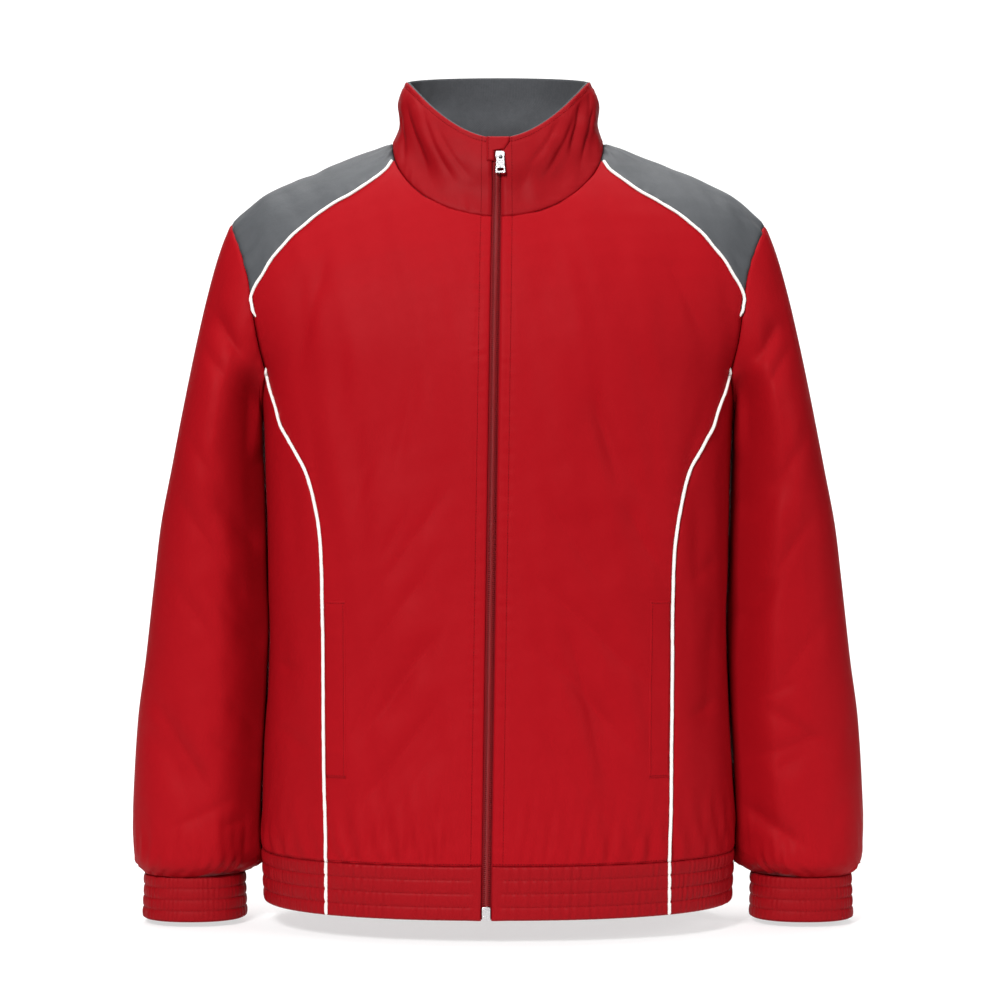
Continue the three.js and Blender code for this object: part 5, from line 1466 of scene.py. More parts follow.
def rounded(
    corners: Sequence[tuple[float, float]], radius: float, parts: int = 5,
) -> list[tuple[float, float]]:
    """Corners of a polygon, each cut by a small curve.

    Args:
        corners: corner points.
        radius: length that each curve takes off both edges.
        parts: steps of each curve.
    Returns:
        Points of the rounded polygon.
    """
    result = []
    count = len(corners)
    for k in range(count):
        before, here, after = (np.array(corners[(k + d) % count], float) for d in (-1, 0, 1))
        start = here + (before - here) * min(0.45, radius / np.linalg.norm(before - here))
        end = here + (after - here) * min(0.45, radius / np.linalg.norm(after - here))
        for t in steps(parts):
            point = start * (1 - t) ** 2 + here * 2 * t * (1 - t) + end * t**2
            result.append((float(point[0]), float(point[1])))
    return result


def metal_plate(
    name: str, outline: Sequence, holes: Sequence, thick: float, bevel: float, frame: PlateFrame,
) -> bpy.types.Object:
    """Make a plate with holes and softened edges.

    Args:
        name: name of the object.
        outline: outer points.
        holes: outlines of the holes.
        thick: thickness in millimetres.
        bevel: size of the softened edge in millimetres.
        frame: where the plate lies.
    Returns:
        The object.
    """
    curve = bpy.data.curves.new(name + "_outline", "CURVE")
    curve.dimensions = "2D"
    curve.fill_mode = "BOTH"
    for loop in [outline, *holes]:
        spline = curve.splines.new("POLY")
        spline.points.add(len(loop) - 1)
        spline.points.foreach_set("co", np.array([(x, y, 0, 1) for x, y in loop], float).ravel())
        spline.use_cyclic_u = True
    curve.extrude = thick / 2 - bevel
    curve.bevel_depth = bevel
    curve.offset = -bevel
    curve.bevel_resolution = 2
    holder = bpy.data.objects.new(name + "_curve", curve)
    bpy.context.scene.collection.objects.link(holder)
    bpy.context.view_layer.update()
    mesh = bpy.data.meshes.new_from_object(holder.evaluated_get(bpy.context.evaluated_depsgraph_get()))
    bpy.data.objects.remove(holder)
    from_plate = frame.matrix()
    co = np.empty(len(mesh.vertices) * 3)
    mesh.vertices.foreach_get("co", co)
    placed = np.c_[co.reshape(-1, 3), np.ones(len(mesh.vertices))] @ from_plate.T
    mesh.vertices.foreach_set("co", placed[:, :3].ravel())
    mesh.materials.clear()
    mesh.update()
    item = bpy.data.objects.new(name, mesh)
    bpy.context.scene.collection.objects.link(item)
    return item


def join(name: str, parts: Sequence[bpy.types.Object]) -> bpy.types.Object:
    """Join objects into one.

    Args:
        name: name of the result.
        parts: the objects, which are used up.
    Returns:
        The joined object.
    """
    mesh = bmesh.new()
    for part in parts:
        mesh.from_mesh(part.data)
    result = bpy.data.meshes.new(name)
    mesh.to_mesh(result)
    mesh.free()
    for part in parts:
        bpy.data.objects.remove(part)
    item = bpy.data.objects.new(name, result)
    bpy.context.scene.collection.objects.link(item)
    return item


@dataclass
class ZipMetal:
    """Slider, pull tab and box, in the slider's own frame on the collar."""

    collar: CollarForm = field(default_factory=CollarForm)
    x: float = 2.0
    z: float = -23.0
    pivot: float = 4.0

    def __post_init__(self) -> None:
        """Find the slider's place and directions."""
        self.across = np.array([1.0, 0.0, 0.0])
        self.up = unit(np.array([0.0, 15.0, 72.0]))
        self.out = np.cross(self.across, self.up)
        self.base = self.collar.place(np.array([0.0]), np.array([self.z]))[0]
        self.base[0] = self.x

    def at(self, up: float, out: float, across: float = 0.0) -> Array:
        """Point of the slider's frame."""
        return self.base + self.up * up + self.out * out + self.across * across

    def slider(self) -> bpy.types.Object:
        """Make the slider with its wings, bridge and rivet."""
        right = [(3.2, 4.8), (4.4, 3.6), (3.5, -3.4), (2.6, -4.8)]
        left = [(-x, y) for x, y in right[::-1]]
        shield = rounded([*left[2:], *right, *left[:2]], 0.9)
        keel = [(-2.9, -4.6), (2.9, -4.6), (2.9, 4.6), (-2.9, 4.6)]
        level = PlateFrame(self.at(0, 1.5), self.across, self.up)
        parts = [metal_plate("plate", shield, [], 1.9, 0.45, level)]
        low = PlateFrame(self.at(0, 0.35), self.across, self.up)
        parts.append(metal_plate("keel", keel, [], 0.9, 0.1, low))
        arch = [(2.3, 1.9), (2.3, self.pivot)]
        arch += [(2.3 * math.cos(a), self.pivot + 2.2 * math.sin(a)) for a in np.linspace(0, math.pi, 13)]
        arch += [(-2.3, 1.9), (-1.35, 1.9)]
        arch += [(-1.35 * math.cos(a), self.pivot + 1.35 * math.sin(a)) for a in np.linspace(0, math.pi, 13)]
        arch += [(1.35, 1.9)]
        bridge = PlateFrame(self.at(0, 0), self.up, self.out)
        parts.append(metal_plate("bridge", arch, [], 2.0, 0.3, bridge))
        return join("zip_slider_metal", parts)

    def pull(self) -> bpy.types.Object:
        """Make the pull tab with its window, slot and ribs."""
        outline = rounded([(-3.4, 0.75), (3.4, 0.75), (4.65, -16.6), (-4.65, -16.6)], 1.5)
        window = rounded([(-1.6, -3.1), (-1.6, -0.6), (1.6, -0.6), (1.6, -3.1)], 0.4, 3)
        slot = rounded([(-2.8, -14.6), (-2.8, -12.0), (2.8, -12.0), (2.8, -14.6)], 0.8, 4)
        level = PlateFrame(self.at(0, self.pivot, 0.3), self.across, self.up)
        parts = [metal_plate("tab", outline, [window, slot], 1.3, 0.3, level)]
        for k in range(5):
            y = -4.9 - 1.35 * k
            half = 3.0 + 0.075 * (-y)
            bar = rounded([(-half, y - 0.33), (half, y - 0.33), (half, y + 0.33), (-half, y + 0.33)], 0.2, 3)
            raised = PlateFrame(self.at(0, self.pivot + 0.72, 0.3), self.across, self.up)
            parts.append(metal_plate(f"rib_{k}", bar, [], 0.5, 0.14, raised))
        return join("zip_pull_metal", parts)

    def box(self) -> bpy.types.Object:
        """Make the retaining box at the foot of the zip."""
        form = BodyForm()
        z = form.hem_bottom + 1.2 + 11.4 / 2
        at = form.ring_point(np.array(z), np.array(0.0))
        at = np.array([float(form.zip_middle(z)), at[1] - 1.05, z])
        outline = rounded([(-3.7, -5.7), (3.7, -5.7), (3.7, 5.7), (-3.7, 5.7)], 1.3)
        level = PlateFrame(at, self.across, np.array([0.0, 0.0, 1.0]))
        parts = [metal_plate("box", outline, [], 1.9, 0.5, level)]
        for k, y in enumerate((-2.9, 2.9)):
            rim = rounded([(-3.3, y - 0.4), (3.3, y - 0.4), (3.3, y + 0.4), (-3.3, y + 0.4)], 0.25, 3)
            raised = PlateFrame(at + np.array([0.0, -1.0, 0.0]), self.across, np.array([0.0, 0.0, 1.0]))
            parts.append(metal_plate(f"box_rim_{k}", rim, [], 0.45, 0.15, raised))
        return join("zip_box_metal", parts)


@dataclass
class StitchRun:
    """Stitches along one line on the cloth."""

    path: Array
    normals: Array
    gap: float = 2.7
    length: float = 2.0
    half: float = 0.34

    def corners(self) -> tuple[Array, Array]:
        """Vertices and faces of all stitches of the line."""
        run = np.concatenate([[0.0], np.cumsum(np.linalg.norm(np.diff(self.path, axis=0), axis=-1))])
        at = np.arange(self.gap / 2, run[-1], self.gap)
        middle = np.stack([np.interp(at, run, self.path[:, k]) for k in range(3)], -1)
        normal = unit(np.stack([np.interp(at, run, self.normals[:, k]) for k in range(3)], -1))
        ahead = np.stack([np.interp(at + 0.3, run, self.path[:, k]) for k in range(3)], -1)
        behind = np.stack([np.interp(at - 0.3, run, self.path[:, k]) for k in range(3)], -1)
        along = unit(ahead - behind)
        across = unit(np.cross(normal, along))
        reach = self.length / 2
        pattern = [(-reach, 0, -0.2), (reach, 0, -0.2)]
        for place in (-0.55 * reach, 0.55 * reach):
            pattern += [(place, self.half, 0.05), (place, 0, self.half)]
            pattern += [(place, -self.half, 0.05), (place, 0, -0.2)]
        shape = np.array(pattern)
        spread = along[:, None] * shape[None, :, :1] + across[:, None] * shape[None, :, 1:2]
        vertices = middle[:, None] + spread + normal[:, None] * shape[None, :, 2:]
        faces = []
        for i in range(4):
            near = (i + 1) % 4
            faces += [(0, 2 + near, 2 + i, -1), (1, 6 + i, 6 + near, -1), (2 + i, 2 + near, 6 + near, 6 + i)]
        table = np.array(faces)
        every = table[None] + 10 * np.arange(len(at))[:, None, None]
        every[:, table < 0] = -1
        return vertices.reshape(-1, 3), every.reshape(-1, 4)


def stitches(name: str, runs: Sequence[StitchRun]) -> bpy.types.Object:
    """Make one object of all stitches of some lines."""
    vertices, faces, base = [], [], 0
    for run in runs:
        points, table = run.corners()
        vertices.append(points)
        for face in table.tolist():
            faces.append([corner + base for corner in face if corner >= 0])
        base += len(points)
    item = MeshMaker.object_from(name, np.concatenate(vertices), faces)
    make_faces_outward(item)
    return item


def grid_line(grid: ClothGrid, distance: Array, at: float, lift: float = 0.05) -> StitchRun:
    """Stitch line that follows the columns of a grid, at a distance from an edge.

    Args:
        grid: the cloth.
        distance: distance of every point from that edge, growing along each row.
        at: distance of the line.
        lift: height of the line over the cloth.
    Returns:
        The line.
    """
    path, normals = [], []
    for row, outward, away in zip(grid.points, grid.outward, distance):
        order = np.argsort(away)
        path.append([np.interp(at, away[order], row[order, k]) for k in range(3)])
        normals.append([np.interp(at, away[order], outward[order, k]) for k in range(3)])
    normals = unit(np.array(normals))
    return StitchRun(np.array(path) + normals * lift, normals)


def level_line(grid: ClothGrid, distance: Array, at: float, lift: float = 0.05) -> StitchRun:
    """Stitch line that follows the rows of a grid, at a distance from its top or bottom."""
    turned = ClothGrid(np.swapaxes(grid.points, 0, 1))
    turned.outward = np.swapaxes(grid.outward, 0, 1)
    return grid_line(turned, distance.T, at, lift)


def row_line(grid: ClothGrid, share: float, skip: int = 0, lift: float = 0.05) -> StitchRun:
    """Stitch line along one row of a grid.

    Args:
        grid: the cloth.
        share: share of the way up at which the row lies.
        skip: columns left out at the start.
        lift: height of the line over the cloth.
    Returns:
        The line.
    """
    place = share * (len(grid.points) - 1)
    j = min(int(place), len(grid.points) - 2)
    points = mix(grid.points[j], grid.points[j + 1], place - j)[skip:]
    normals = unit(mix(grid.outward[j], grid.outward[j + 1], place - j))[skip:]
    if grid.wrap:
        points = np.concatenate([points, points[:1]])
        normals = np.concatenate([normals, normals[:1]])
    return StitchRun(points + normals * lift, normals)


class Wire:
    """A number output of a node tree, with arithmetic that adds the nodes for it."""

    def __init__(self, tree: bpy.types.NodeTree, socket: bpy.types.NodeSocket) -> None:
        """Wrap a socket."""
        self.tree = tree
        self.socket = socket

    def _math(self, kind: str, first: object, second: object = None, clamp: bool = False) -> Wire:
        """Add a math node on two values or wires."""
        node = self.tree.nodes.new("ShaderNodeMath")
        node.operation = kind
        node.use_clamp = clamp
        for k, value in enumerate((first, second)):
            if isinstance(value, Wire):
                self.tree.links.new(value.socket, node.inputs[k])
            elif value is not None:
                node.inputs[k].default_value = value
        return Wire(self.tree, node.outputs[0])

    def __add__(self, other: object) -> Wire:
        """Sum with a value or wire."""
        return self._math("ADD", self, other)

    def __radd__(self, other: object) -> Wire:
        """Sum of a value and this wire."""
        return self._math("ADD", other, self)

    def __sub__(self, other: object) -> Wire:
        """Difference from a value or wire."""
        return self._math("SUBTRACT", self, other)

    def __rsub__(self, other: object) -> Wire:
        """Difference of a value and this wire."""
        return self._math("SUBTRACT", other, self)

    def __mul__(self, other: object) -> Wire:
        """Product with a value or wire."""
        return self._math("MULTIPLY", self, other)

    def __rmul__(self, other: object) -> Wire:
        """Product of a value and this wire."""
        return self._math("MULTIPLY", other, self)

    def __truediv__(self, other: object) -> Wire:
        """Quotient by a value or wire."""
        return self._math("DIVIDE", self, other)

    def __rtruediv__(self, other: object) -> Wire:
        """Quotient of a value and this wire."""
        return self._math("DIVIDE", other, self)

    def __pow__(self, other: object) -> Wire:
        """Power by a value or wire."""
        return self._math("POWER", self, other)

    def clamped(self) -> Wire:
        """The value held between 0 and 1."""
        return self._math("ADD", self, 0.0, clamp=True)

    def sine(self) -> Wire:
        """The sine of the value."""
        return self._math("SINE", self)

    def magnitude(self) -> Wire:
        """The value without its sign."""
        return self._math("ABSOLUTE", self)


Colour = tuple[float, float, float]


@dataclass(frozen=True)
class Finish:
    """How a material looks.

    Attributes:
        colour: linear base colour.
        shade: linear colour of its darker threads and random tone, and the painted shade in the hollows of
            its weave.
        rough: mean roughness.
        rough_swing: how far the roughness varies.
        metal: metallic share.
        sheen: weight of the soft sheen of cloth.
        sheen_rough: roughness of that sheen.
        thread: distance between threads in metres, 0 for none.
        thread_deep: height of the threads in metres.
        crinkle: size of the fine crinkles in metres.
        crinkle_deep: height of the crinkles in metres.
        fleck: share of the shade colour that speckles the base, and of the painted shade in the hollows of
            the weave.
        specular: specular level.
        drift: share by which the colour drifts over large areas.
        glow: strength of its own light.
    """

    colour: Colour
    shade: Colour
    rough: float
    rough_swing: float = 0.06
    metal: float = 0.0
    sheen: float = 0.0
    sheen_rough: float = 0.4
    thread: float = 0.0
    thread_deep: float = 0.0
    crinkle: float = 0.006
    crinkle_deep: float = 0.0
    fleck: float = 0.1
    specular: float = 0.5
    drift: float = 0.06
    glow: float = 0.0


class Finishes(Enum):
    """The finishes of the jacket."""

    RED_SHELL = Finish(
        (0.315, 0.0037, 0.0078), (0.215, 0.0016, 0.0038), 0.58, sheen=0.0, sheen_rough=0.35,
        thread=0.00085, thread_deep=0.00002, crinkle=0.0075, crinkle_deep=0.0001, fleck=0.18, specular=0.045)
    # The shell red made darker for the collar, the cuffs and the zip garage, which are the same cloth: the
    # darker colour is painted shade.
    RED_COLLAR = Finish(
        (0.262, 0.0032, 0.0066), (0.165, 0.0014, 0.0033), 0.58, sheen=0.0, sheen_rough=0.35,
        thread=0.00085, thread_deep=0.00002, crinkle=0.0075, crinkle_deep=0.0001, fleck=0.18, specular=0.07)
    # The shell red on the hem casing, with its own roughness and threads; its darker colour is painted shade
    # over the gathered hem.
    RED_ELASTIC = Finish(
        (0.275, 0.0033, 0.0069), (0.175, 0.0014, 0.0034), 0.52, sheen=0.0, sheen_rough=0.35,
        thread=0.0011, thread_deep=0.00003, crinkle=0.004, crinkle_deep=0.00008, fleck=0.2, specular=0.07)
    GREY_YOKE = Finish(
        (0.062, 0.066, 0.072), (0.037, 0.040, 0.044), 0.6, sheen=0.02, sheen_rough=0.4,
        thread=0.00095, thread_deep=0.00003, crinkle=0.007, crinkle_deep=0.0002, fleck=0.35, specular=0.4)
    GREY_LINING = Finish(
        (0.064, 0.067, 0.073), (0.028, 0.030, 0.034), 0.75, sheen=0.1, sheen_rough=0.5,
        thread=0.0016, thread_deep=0.00012, crinkle=0.005, crinkle_deep=0.0001, fleck=0.5, specular=0.3)
    WHITE_PIPING = Finish(
        (0.86, 0.83, 0.79), (0.62, 0.59, 0.56), 0.5, sheen=0.1,
        crinkle=0.003, crinkle_deep=0.00005, fleck=0.15, specular=0.4)
    ZIP_TAPE = Finish(
        (0.19, 0.0035, 0.0065), (0.11, 0.002, 0.004), 0.6, sheen=0.0,
        thread=0.0009, thread_deep=0.00008, crinkle=0.002, crinkle_deep=0.00005, fleck=0.4, specular=0.08)
    ZIP_TEETH = Finish(
        (0.19, 0.007, 0.009), (0.10, 0.004, 0.005), 0.42, crinkle=0.002, crinkle_deep=0.00003, fleck=0.3,
        specular=0.15)
    STITCH_RED = Finish(
        (0.19, 0.0030, 0.0055), (0.12, 0.0015, 0.003), 0.5, sheen=0.0, crinkle=0.0009, crinkle_deep=0.00006,
        fleck=0.3, specular=0.05)
    SILVER = Finish(
        (0.72, 0.72, 0.73), (0.42, 0.42, 0.43), 0.28, rough_swing=0.12, metal=1.0,
        crinkle=0.0011, crinkle_deep=0.00002, fleck=0.25)
    FLOOR = Finish(
        (0.42, 0.42, 0.42), (0.40, 0.40, 0.40), 0.75, rough_swing=0.04,
        crinkle=0.2, fleck=0.1, specular=0.1, glow=0.62)


SHADE_BASE = 0.22


class Painter:
    """Builds the procedural material of each finish."""

    def __init__(self) -> None:
        """Start with no materials."""
        self.made: dict[str, bpy.types.Material] = {}

    def node(
        self, tree: bpy.types.NodeTree, kind: str, settings: dict | None = None, links: dict | None = None,
    ) -> bpy.types.Node:
        """Add a node.

        Args:
            tree: the node tree.
            kind: type of the node.
            settings: its properties.
            links: values, wires or sockets for its inputs.
        Returns:
            The node.
        """
        node = tree.nodes.new(kind)
        for name, value in (settings or {}).items():
            setattr(node, name, value)
        for name, value in (links or {}).items():
            if isinstance(value, Wire):
                tree.links.new(value.socket, node.inputs[name])
            elif isinstance(value, bpy.types.NodeSocket):
                tree.links.new(value, node.inputs[name])
            else:
                node.inputs[name].default_value = value
        return node

    def noise(
        self, tree: bpy.types.NodeTree, at: bpy.types.NodeSocket, size: float, detail: float = 2.0,
    ) -> Wire:
        """Noise from 0 to 1 with features of a size in metres."""
        links = {"Vector": at, "Scale": 1 / size, "Detail": detail, "Roughness": 0.55}
        return Wire(tree, self.node(tree, "ShaderNodeTexNoise", links=links).outputs["Fac"])

    def threads(self, tree: bpy.types.NodeTree, finish: Finish) -> Wire | None:
        """Height of the weave from 0 to 1, from distances along the cloth."""
        if not finish.thread:
            return None
        flat = self.node(tree, "ShaderNodeUVMap", {"uv_map": "cloth"}).outputs["UV"]
        split = self.node(tree, "ShaderNodeSeparateXYZ", links={"Vector": flat})
        rate = 2 * math.pi / finish.thread
        across = (Wire(tree, split.outputs["X"]) * rate).sine()
        along = (Wire(tree, split.outputs["Y"]) * rate).sine()
        return across * along * 0.5 + 0.5

    def material(self, kind: Finishes) -> bpy.types.Material:
        """Make or find the material of a finish.

        Args:
            kind: the finish.
        Returns:
            The material.
        """
        if kind.name in self.made:
            return self.made[kind.name]
        finish = kind.value
        material = bpy.data.materials.new(kind.name.lower())
        material.use_nodes = True
        tree = material.node_tree
        tree.nodes.clear()
        place = self.node(tree, "ShaderNodeTexCoord").outputs["Object"]
        fine = self.noise(tree, place, finish.crinkle)
        broad = self.noise(tree, place, 0.09, 1.0)
        weave = self.threads(tree, finish)
        speckle = self.noise(tree, place, 0.0016, 1.0)
        share = (fine - 0.5) * finish.fleck + (broad - 0.5) * finish.drift * 4
        share = share + (speckle - 0.5) * finish.fleck + SHADE_BASE
        if weave is not None:
            # Painted shade: the colour darkens towards the shade colour in the hollows of the weave, where
            # its bump sinks.
            share = share + (0.5 - weave) * finish.fleck
        colour = self.node(tree, "ShaderNodeMix", {"data_type": "RGBA"}, {0: share.clamped()})
        colour.inputs[6].default_value = (*finish.colour, 1)
        colour.inputs[7].default_value = (*finish.shade, 1)
        swing = (broad - 0.5) * 2 + (fine - 0.5)
        rough = (finish.rough + swing * finish.rough_swing).clamped()
        height = (fine - 0.5) * finish.crinkle_deep
        if weave is not None:
            height = height + weave * finish.thread_deep
        bump = self.node(tree, "ShaderNodeBump", links={"Height": height, "Distance": 1.0, "Strength": 1.0})
        values = {
            "Base Color": colour.outputs[2],
            "Roughness": rough,
            "Metallic": finish.metal,
            "Specular IOR Level": finish.specular,
            "Sheen Weight": finish.sheen,
            "Sheen Roughness": finish.sheen_rough,
            "Emission Color": (1, 1, 1, 1),
            "Emission Strength": finish.glow,
            "Normal": bump.outputs["Normal"],
        }
        surface = self.node(tree, "ShaderNodeBsdfPrincipled", links=values)
        self.node(tree, "ShaderNodeOutputMaterial", links={"Surface": surface.outputs["BSDF"]})
        self.made[kind.name] = material
        return material


@dataclass(frozen=True)
class Cut:
    """Flat size of a cut piece in metres, before it was sewn."""

    width: float
    length: float
    area: float
    held: str = "stretched"


@dataclass
class JacketBuilder:
    """Builds every piece of the jacket and hangs it on the frame."""

    painter: Painter
    jacket: str = "jacket"
    stitch_runs: list[StitchRun] = field(default_factory=list)

    def dress(
        self, item: bpy.types.Object, kind: Finishes, nodes: Sequence[str], body: str = "jacket",
    ) -> bpy.types.Object:
        """Give a piece its material, its body and the nodes that it stands for.

        Args:
            item: the piece.
            kind: its finish.
            nodes: the nodes that it replaces.
            body: the body that it rides on.
        Returns:
            The piece.
        """
        item.data.materials.clear()
        item.data.materials.append(self.painter.material(kind))
        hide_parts(*nodes)
        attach(item, body)
        log.info("%s: %d faces", item.name, len(item.data.polygons))
        return item

    def cloth(
        self, name: str, grid: ClothGrid, kind: Finishes, slot: str, nodes: Sequence[str], cut: str,
        thick: float = 1.2,
    ) -> bpy.types.Object:
        """Make a cloth piece and log its size.

        Args:
            name: name of the object.
            grid: its outer points.
            kind: its finish.
            slot: not used.
            nodes: the nodes that it replaces.
            cut: not used.
            thick: thickness in millimetres.
        Returns:
            The piece.
        """
        item = self.dress(MeshMaker.shell(name, grid, thick), kind, nodes)
        wide = float(grid.across[:, -1].max() * MM)
        high = float(grid.along[-1].max() * MM)
        log.info("%s measures %.3f by %.3f", name, wide, high)
        return item

    def body(self, side: Side) -> None:
        """Build front, side panel and yoke of one side."""
        panels = BodyPanels(side)
        word = side.word
        front = panels.front()
        self.cloth(f"front_{word}_cloth", front, Finishes.RED_SHELL, "red_shell", [f"front_{word}"], "front")
        self.stitch_runs.append(grid_line(front, front.from_edge("start"), 9.6))
        self.stitch_runs.append(level_line(front, front.from_edge("bottom"), 1.6))
        self.pocket(side, front)
        self.cloth(f"side_{word}_cloth", panels.side_panel(), Finishes.RED_SHELL, "red_shell",
                   [f"side_{word}"], "side")
        self.cloth(f"yoke_{word}_cloth", panels.yoke(), Finishes.GREY_YOKE, "grey_yoke",
                   [f"yoke_{word}"], "yoke")

    def pocket(self, side: Side, front: ClothGrid) -> None:
        """Build the pocket welt on the front and the stitches round it."""
        form = BodyForm()
        rows, columns = 60, 12
        z = np.linspace(-577.5, -420.5, rows)[:, None]
        share = steps(columns)[None, :]
        seam = form.princess.read(z)["x"] - 2.4
        x = seam - 18.0 * (1 - share)
        skin = Skin(side).ring(np.broadcast_to(z, x.shape), form.ring_angle(z, x, Face.FRONT))
        grid = ClothGrid(skin)
        inner = smooth_step(grid.from_edge("start") / 2.2)
        ends = smooth_step(np.minimum(grid.from_edge("bottom"), grid.from_edge("top")) / 2.0)
        waves = Ripple(180 + side.value, 14.0)(grid.along, grid.across)
        grid.raise_by(0.12 + 0.2 * inner * ends * (1 + waves))
        self.cloth(f"pocket_welt_{side.word}_cloth", grid, Finishes.RED_SHELL, "red_shell",
                          [f"pocket_welt_{side.word}"], "welt", 0.6)
        self.stitch_runs.append(grid_line(grid, grid.from_edge("start"), 2.2))
        for edge in ("bottom", "top"):
            self.stitch_runs.append(level_line(grid, grid.from_edge(edge), 2.2))

    def sleeve(self, side: Side) -> None:
        """Build sleeve and cuff of one side."""
        word = side.word
        self.cloth(f"sleeve_{word}_cloth", SleeveForm(side).grid(), Finishes.RED_SHELL, "red_shell",
                   [f"sleeve_{word}"], "sleeve")
        cuff = CuffForm(side)
        grid = cuff.grid()
        self.cloth(f"cuff_{word}_cloth", grid, Finishes.RED_COLLAR, "red_elastic",
                   [f"cuff_{word}"], "cuff", 2.0)
        for share in [0.03, *cuff.elastic.stitch_shares(), 0.985]:
            self.stitch_runs.append(row_line(grid, share))

    def hem(self) -> None:
        """Build the three stretches of the hem."""
        form = HemForm()
        for side in Side:
            grid = form.front(side)
            self.cloth(f"hem_front_{side.word}_cloth", grid, Finishes.RED_ELASTIC, "red_elastic",
                       [f"hem_front_{side.word}"], "hem_front", 1.4)
            for share in form.elastic.stitch_shares():
                self.stitch_runs.append(row_line(grid, share, skip=9))
            self.stitch_runs.append(row_line(grid, 0.985, skip=2))
        grid = form.back()
        self.cloth("hem_back_cloth", grid, Finishes.RED_ELASTIC, "red_elastic", ["hem_back"], "hem_back", 2.0)
        for share in [*form.elastic.stitch_shares(), 0.985]:
            self.stitch_runs.append(row_line(grid, share))

    def neck(self) -> None:
        """Build collar, lining and zip garage."""
        form = CollarForm()
        grid = form.grid()
        self.cloth("collar_cloth", grid, Finishes.RED_COLLAR, "red_shell", ["collar"], "collar")
        self.stitch_runs.append(level_line(grid, grid.from_edge("top"), 4.6))
        self.stitch_runs.append(grid_line(grid, grid.from_edge("start"), 9.6))
        self.stitch_runs.append(grid_line(grid, grid.from_edge("end"), 9.6))
        self.cloth("collar_lining_cloth", form.lining(), Finishes.GREY_LINING, "grey_lining",
                   ["collar_lining"], "lining", 0.8)
        self.garage(form)

    def garage(self, form: CollarForm) -> None:
        """Build the flap over the top end of the zip."""
        levels = np.array([-4.0, -9.8, -16.0, -17.2, -26.9])
        start = np.full(5, -9.9)
        end = np.array([10.8, 9.9, 5.6, -3.2, -3.2])
        z = np.concatenate([np.linspace(-26.9, -17.2, 8), np.linspace(-17.0, -4.0, 14)])[:, None]
        left = np.interp(z, levels[::-1], start[::-1])
        right = np.interp(z, levels[::-1], end[::-1])
        x = mix(left, right, steps(16)[None, :])
        grid = ClothGrid(form.place(x, np.broadcast_to(z, x.shape)), hub=(0, 0, 0))
        edge = np.minimum(grid.from_edge("start"), grid.from_edge("end"))
        edge = np.minimum(edge, np.minimum(grid.from_edge("bottom"), grid.from_edge("top")))
        grid.raise_by(0.7 + 1.0 * smooth_step(edge / 1.8))
        self.cloth("zip_garage_cloth", grid, Finishes.RED_COLLAR, "red_shell", ["zip_garage"], "garage", 1.0)
        self.stitch_runs.append(grid_line(grid, grid.from_edge("start"), 1.8))

    def zip(self) -> None:
        """Build tape, chain and metal parts of the zip."""
        form = ZipForm()
        tape = self.dress(form.tape(), Finishes.ZIP_TAPE, ["zip_tape"])
        chain = form.teeth()
        self.dress(chain, Finishes.ZIP_TEETH, ["zip_tape"])
        metal = ZipMetal()
        self.dress(metal.slider(), Finishes.SILVER, ["zip_slider"])
        self.dress(metal.pull(), Finishes.SILVER, ["zip_pull"], body="zip_pull")
        self.dress(metal.box(), Finishes.SILVER, ["zip_box"])

    def build(self) -> None:
        """Build the whole jacket."""
        for side in Side:
            self.body(side)
            self.sleeve(side)
            cord = PipingForm(side).make()
            self.dress(cord, Finishes.WHITE_PIPING, [f"piping_{side.word}"])
        self.cloth("back_cloth", back_panel(), Finishes.RED_SHELL, "red_shell", ["back"], "back")
        self.hem()
        self.neck()
        self.zip()
        item = stitches("stitching", self.stitch_runs)
        item.data.materials.append(self.painter.material(Finishes.STITCH_RED))
        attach(item, self.jacket)


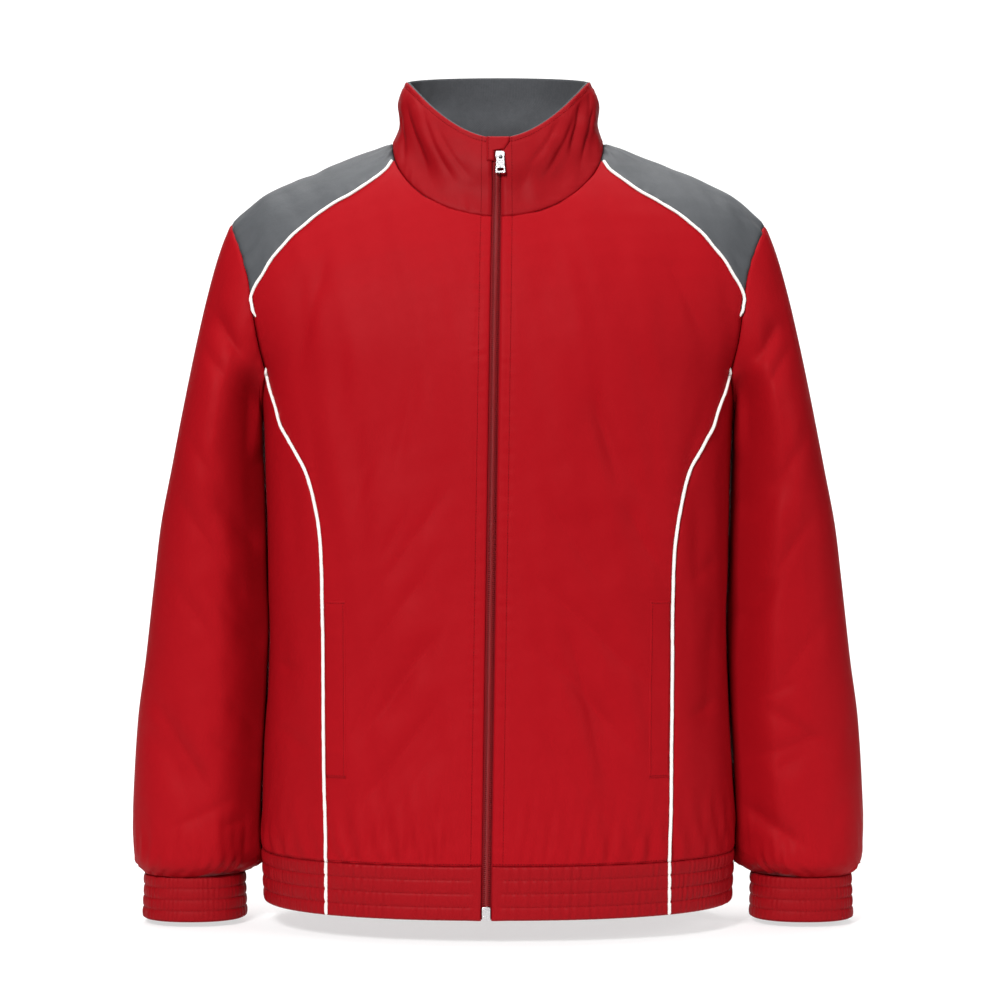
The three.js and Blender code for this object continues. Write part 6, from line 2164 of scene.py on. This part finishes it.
@dataclass
class Studio:
    """Camera, lights and white surroundings."""

    painter: Painter

    def camera(self) -> None:
        """Place the camera level with the middle of the jacket."""
        data = bpy.data.cameras.new("camera")
        data.lens = 96.0
        data.sensor_width = 36.0
        item = bpy.data.objects.new("camera", data)
        item.location = (0.0056, -2.5, -0.3348)
        item.rotation_euler = (math.radians(90), 0, 0)
        bpy.context.scene.collection.objects.link(item)
        bpy.context.scene.camera = item

    def area(self, name: str, place: Vector, target: Vector, size: float, power: float) -> None:
        """Add a square area light.

        Args:
            name: its name.
            place: where it is.
            target: what it faces.
            size: its width in metres.
            power: its power in watts.
        """
        data = bpy.data.lights.new(name, "AREA")
        data.size = size
        data.energy = power
        item = bpy.data.objects.new(name, data)
        item.location = place
        item.rotation_euler = (target - place).to_track_quat("-Z", "Y").to_euler()
        bpy.context.scene.collection.objects.link(item)

    def surroundings(self) -> None:
        """Build the white sweep under and behind the jacket, and the sky that fills its shadows."""
        turns = np.linspace(0, math.pi / 2, 13)
        floor, back, radius = -722.0, 2600.0, 1200.0
        curve = [(back - radius * (1 - math.sin(a)), floor + radius * (1 - math.cos(a))) for a in turns]
        profile = [(-620.0, floor), *curve]
        profile.append((back, 4200.0))
        rows = np.array([[(x, y, z) for y, z in profile] for x in (-1500.0, 1500.0)])
        count = len(profile)
        faces = [[k, k + 1, count + k + 1, count + k] for k in range(count - 1)]
        item = MeshMaker.object_from("sweep", rows.reshape(-1, 3), faces)
        item.data.materials.append(self.painter.material(Finishes.FLOOR))
        world = bpy.data.worlds.new("sky")
        world.use_nodes = True
        bpy.context.scene.world = world
        background = world.node_tree.nodes["Background"]
        background.inputs["Color"].default_value = (1, 1, 1, 1)
        background.inputs["Strength"].default_value = 0.05

    def build(self) -> None:
        """Set up the whole studio."""
        self.camera()
        self.surroundings()
        heart = Vector((0.0, 0.0, -0.35))
        self.area("key", Vector((-0.75, -2.2, 0.95)), heart, 0.6, 80)
        self.area("left_fill", Vector((-2.1, -1.7, 0.5)), heart, 1.0, 3)
        self.area("right_fill", Vector((2.1, -1.7, 0.5)), heart, 1.0, 26)
        self.area("top", Vector((0.0, -0.3, 2.0)), heart, 1.2, 5)
        self.area("wall", Vector((0.0, 0.9, 2.4)), Vector((0.0, 2.6, -0.2)), 2.6, 120)
        bpy.context.scene.view_settings.view_transform = "Standard"


def main() -> None:
    """Build the scene in order."""
    logging.basicConfig(level=logging.INFO, format="%(message)s")
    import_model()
    painter = Painter()
    JacketBuilder(painter).build()
    Studio(painter).build()
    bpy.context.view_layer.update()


if __name__ == "__main__":
    main()
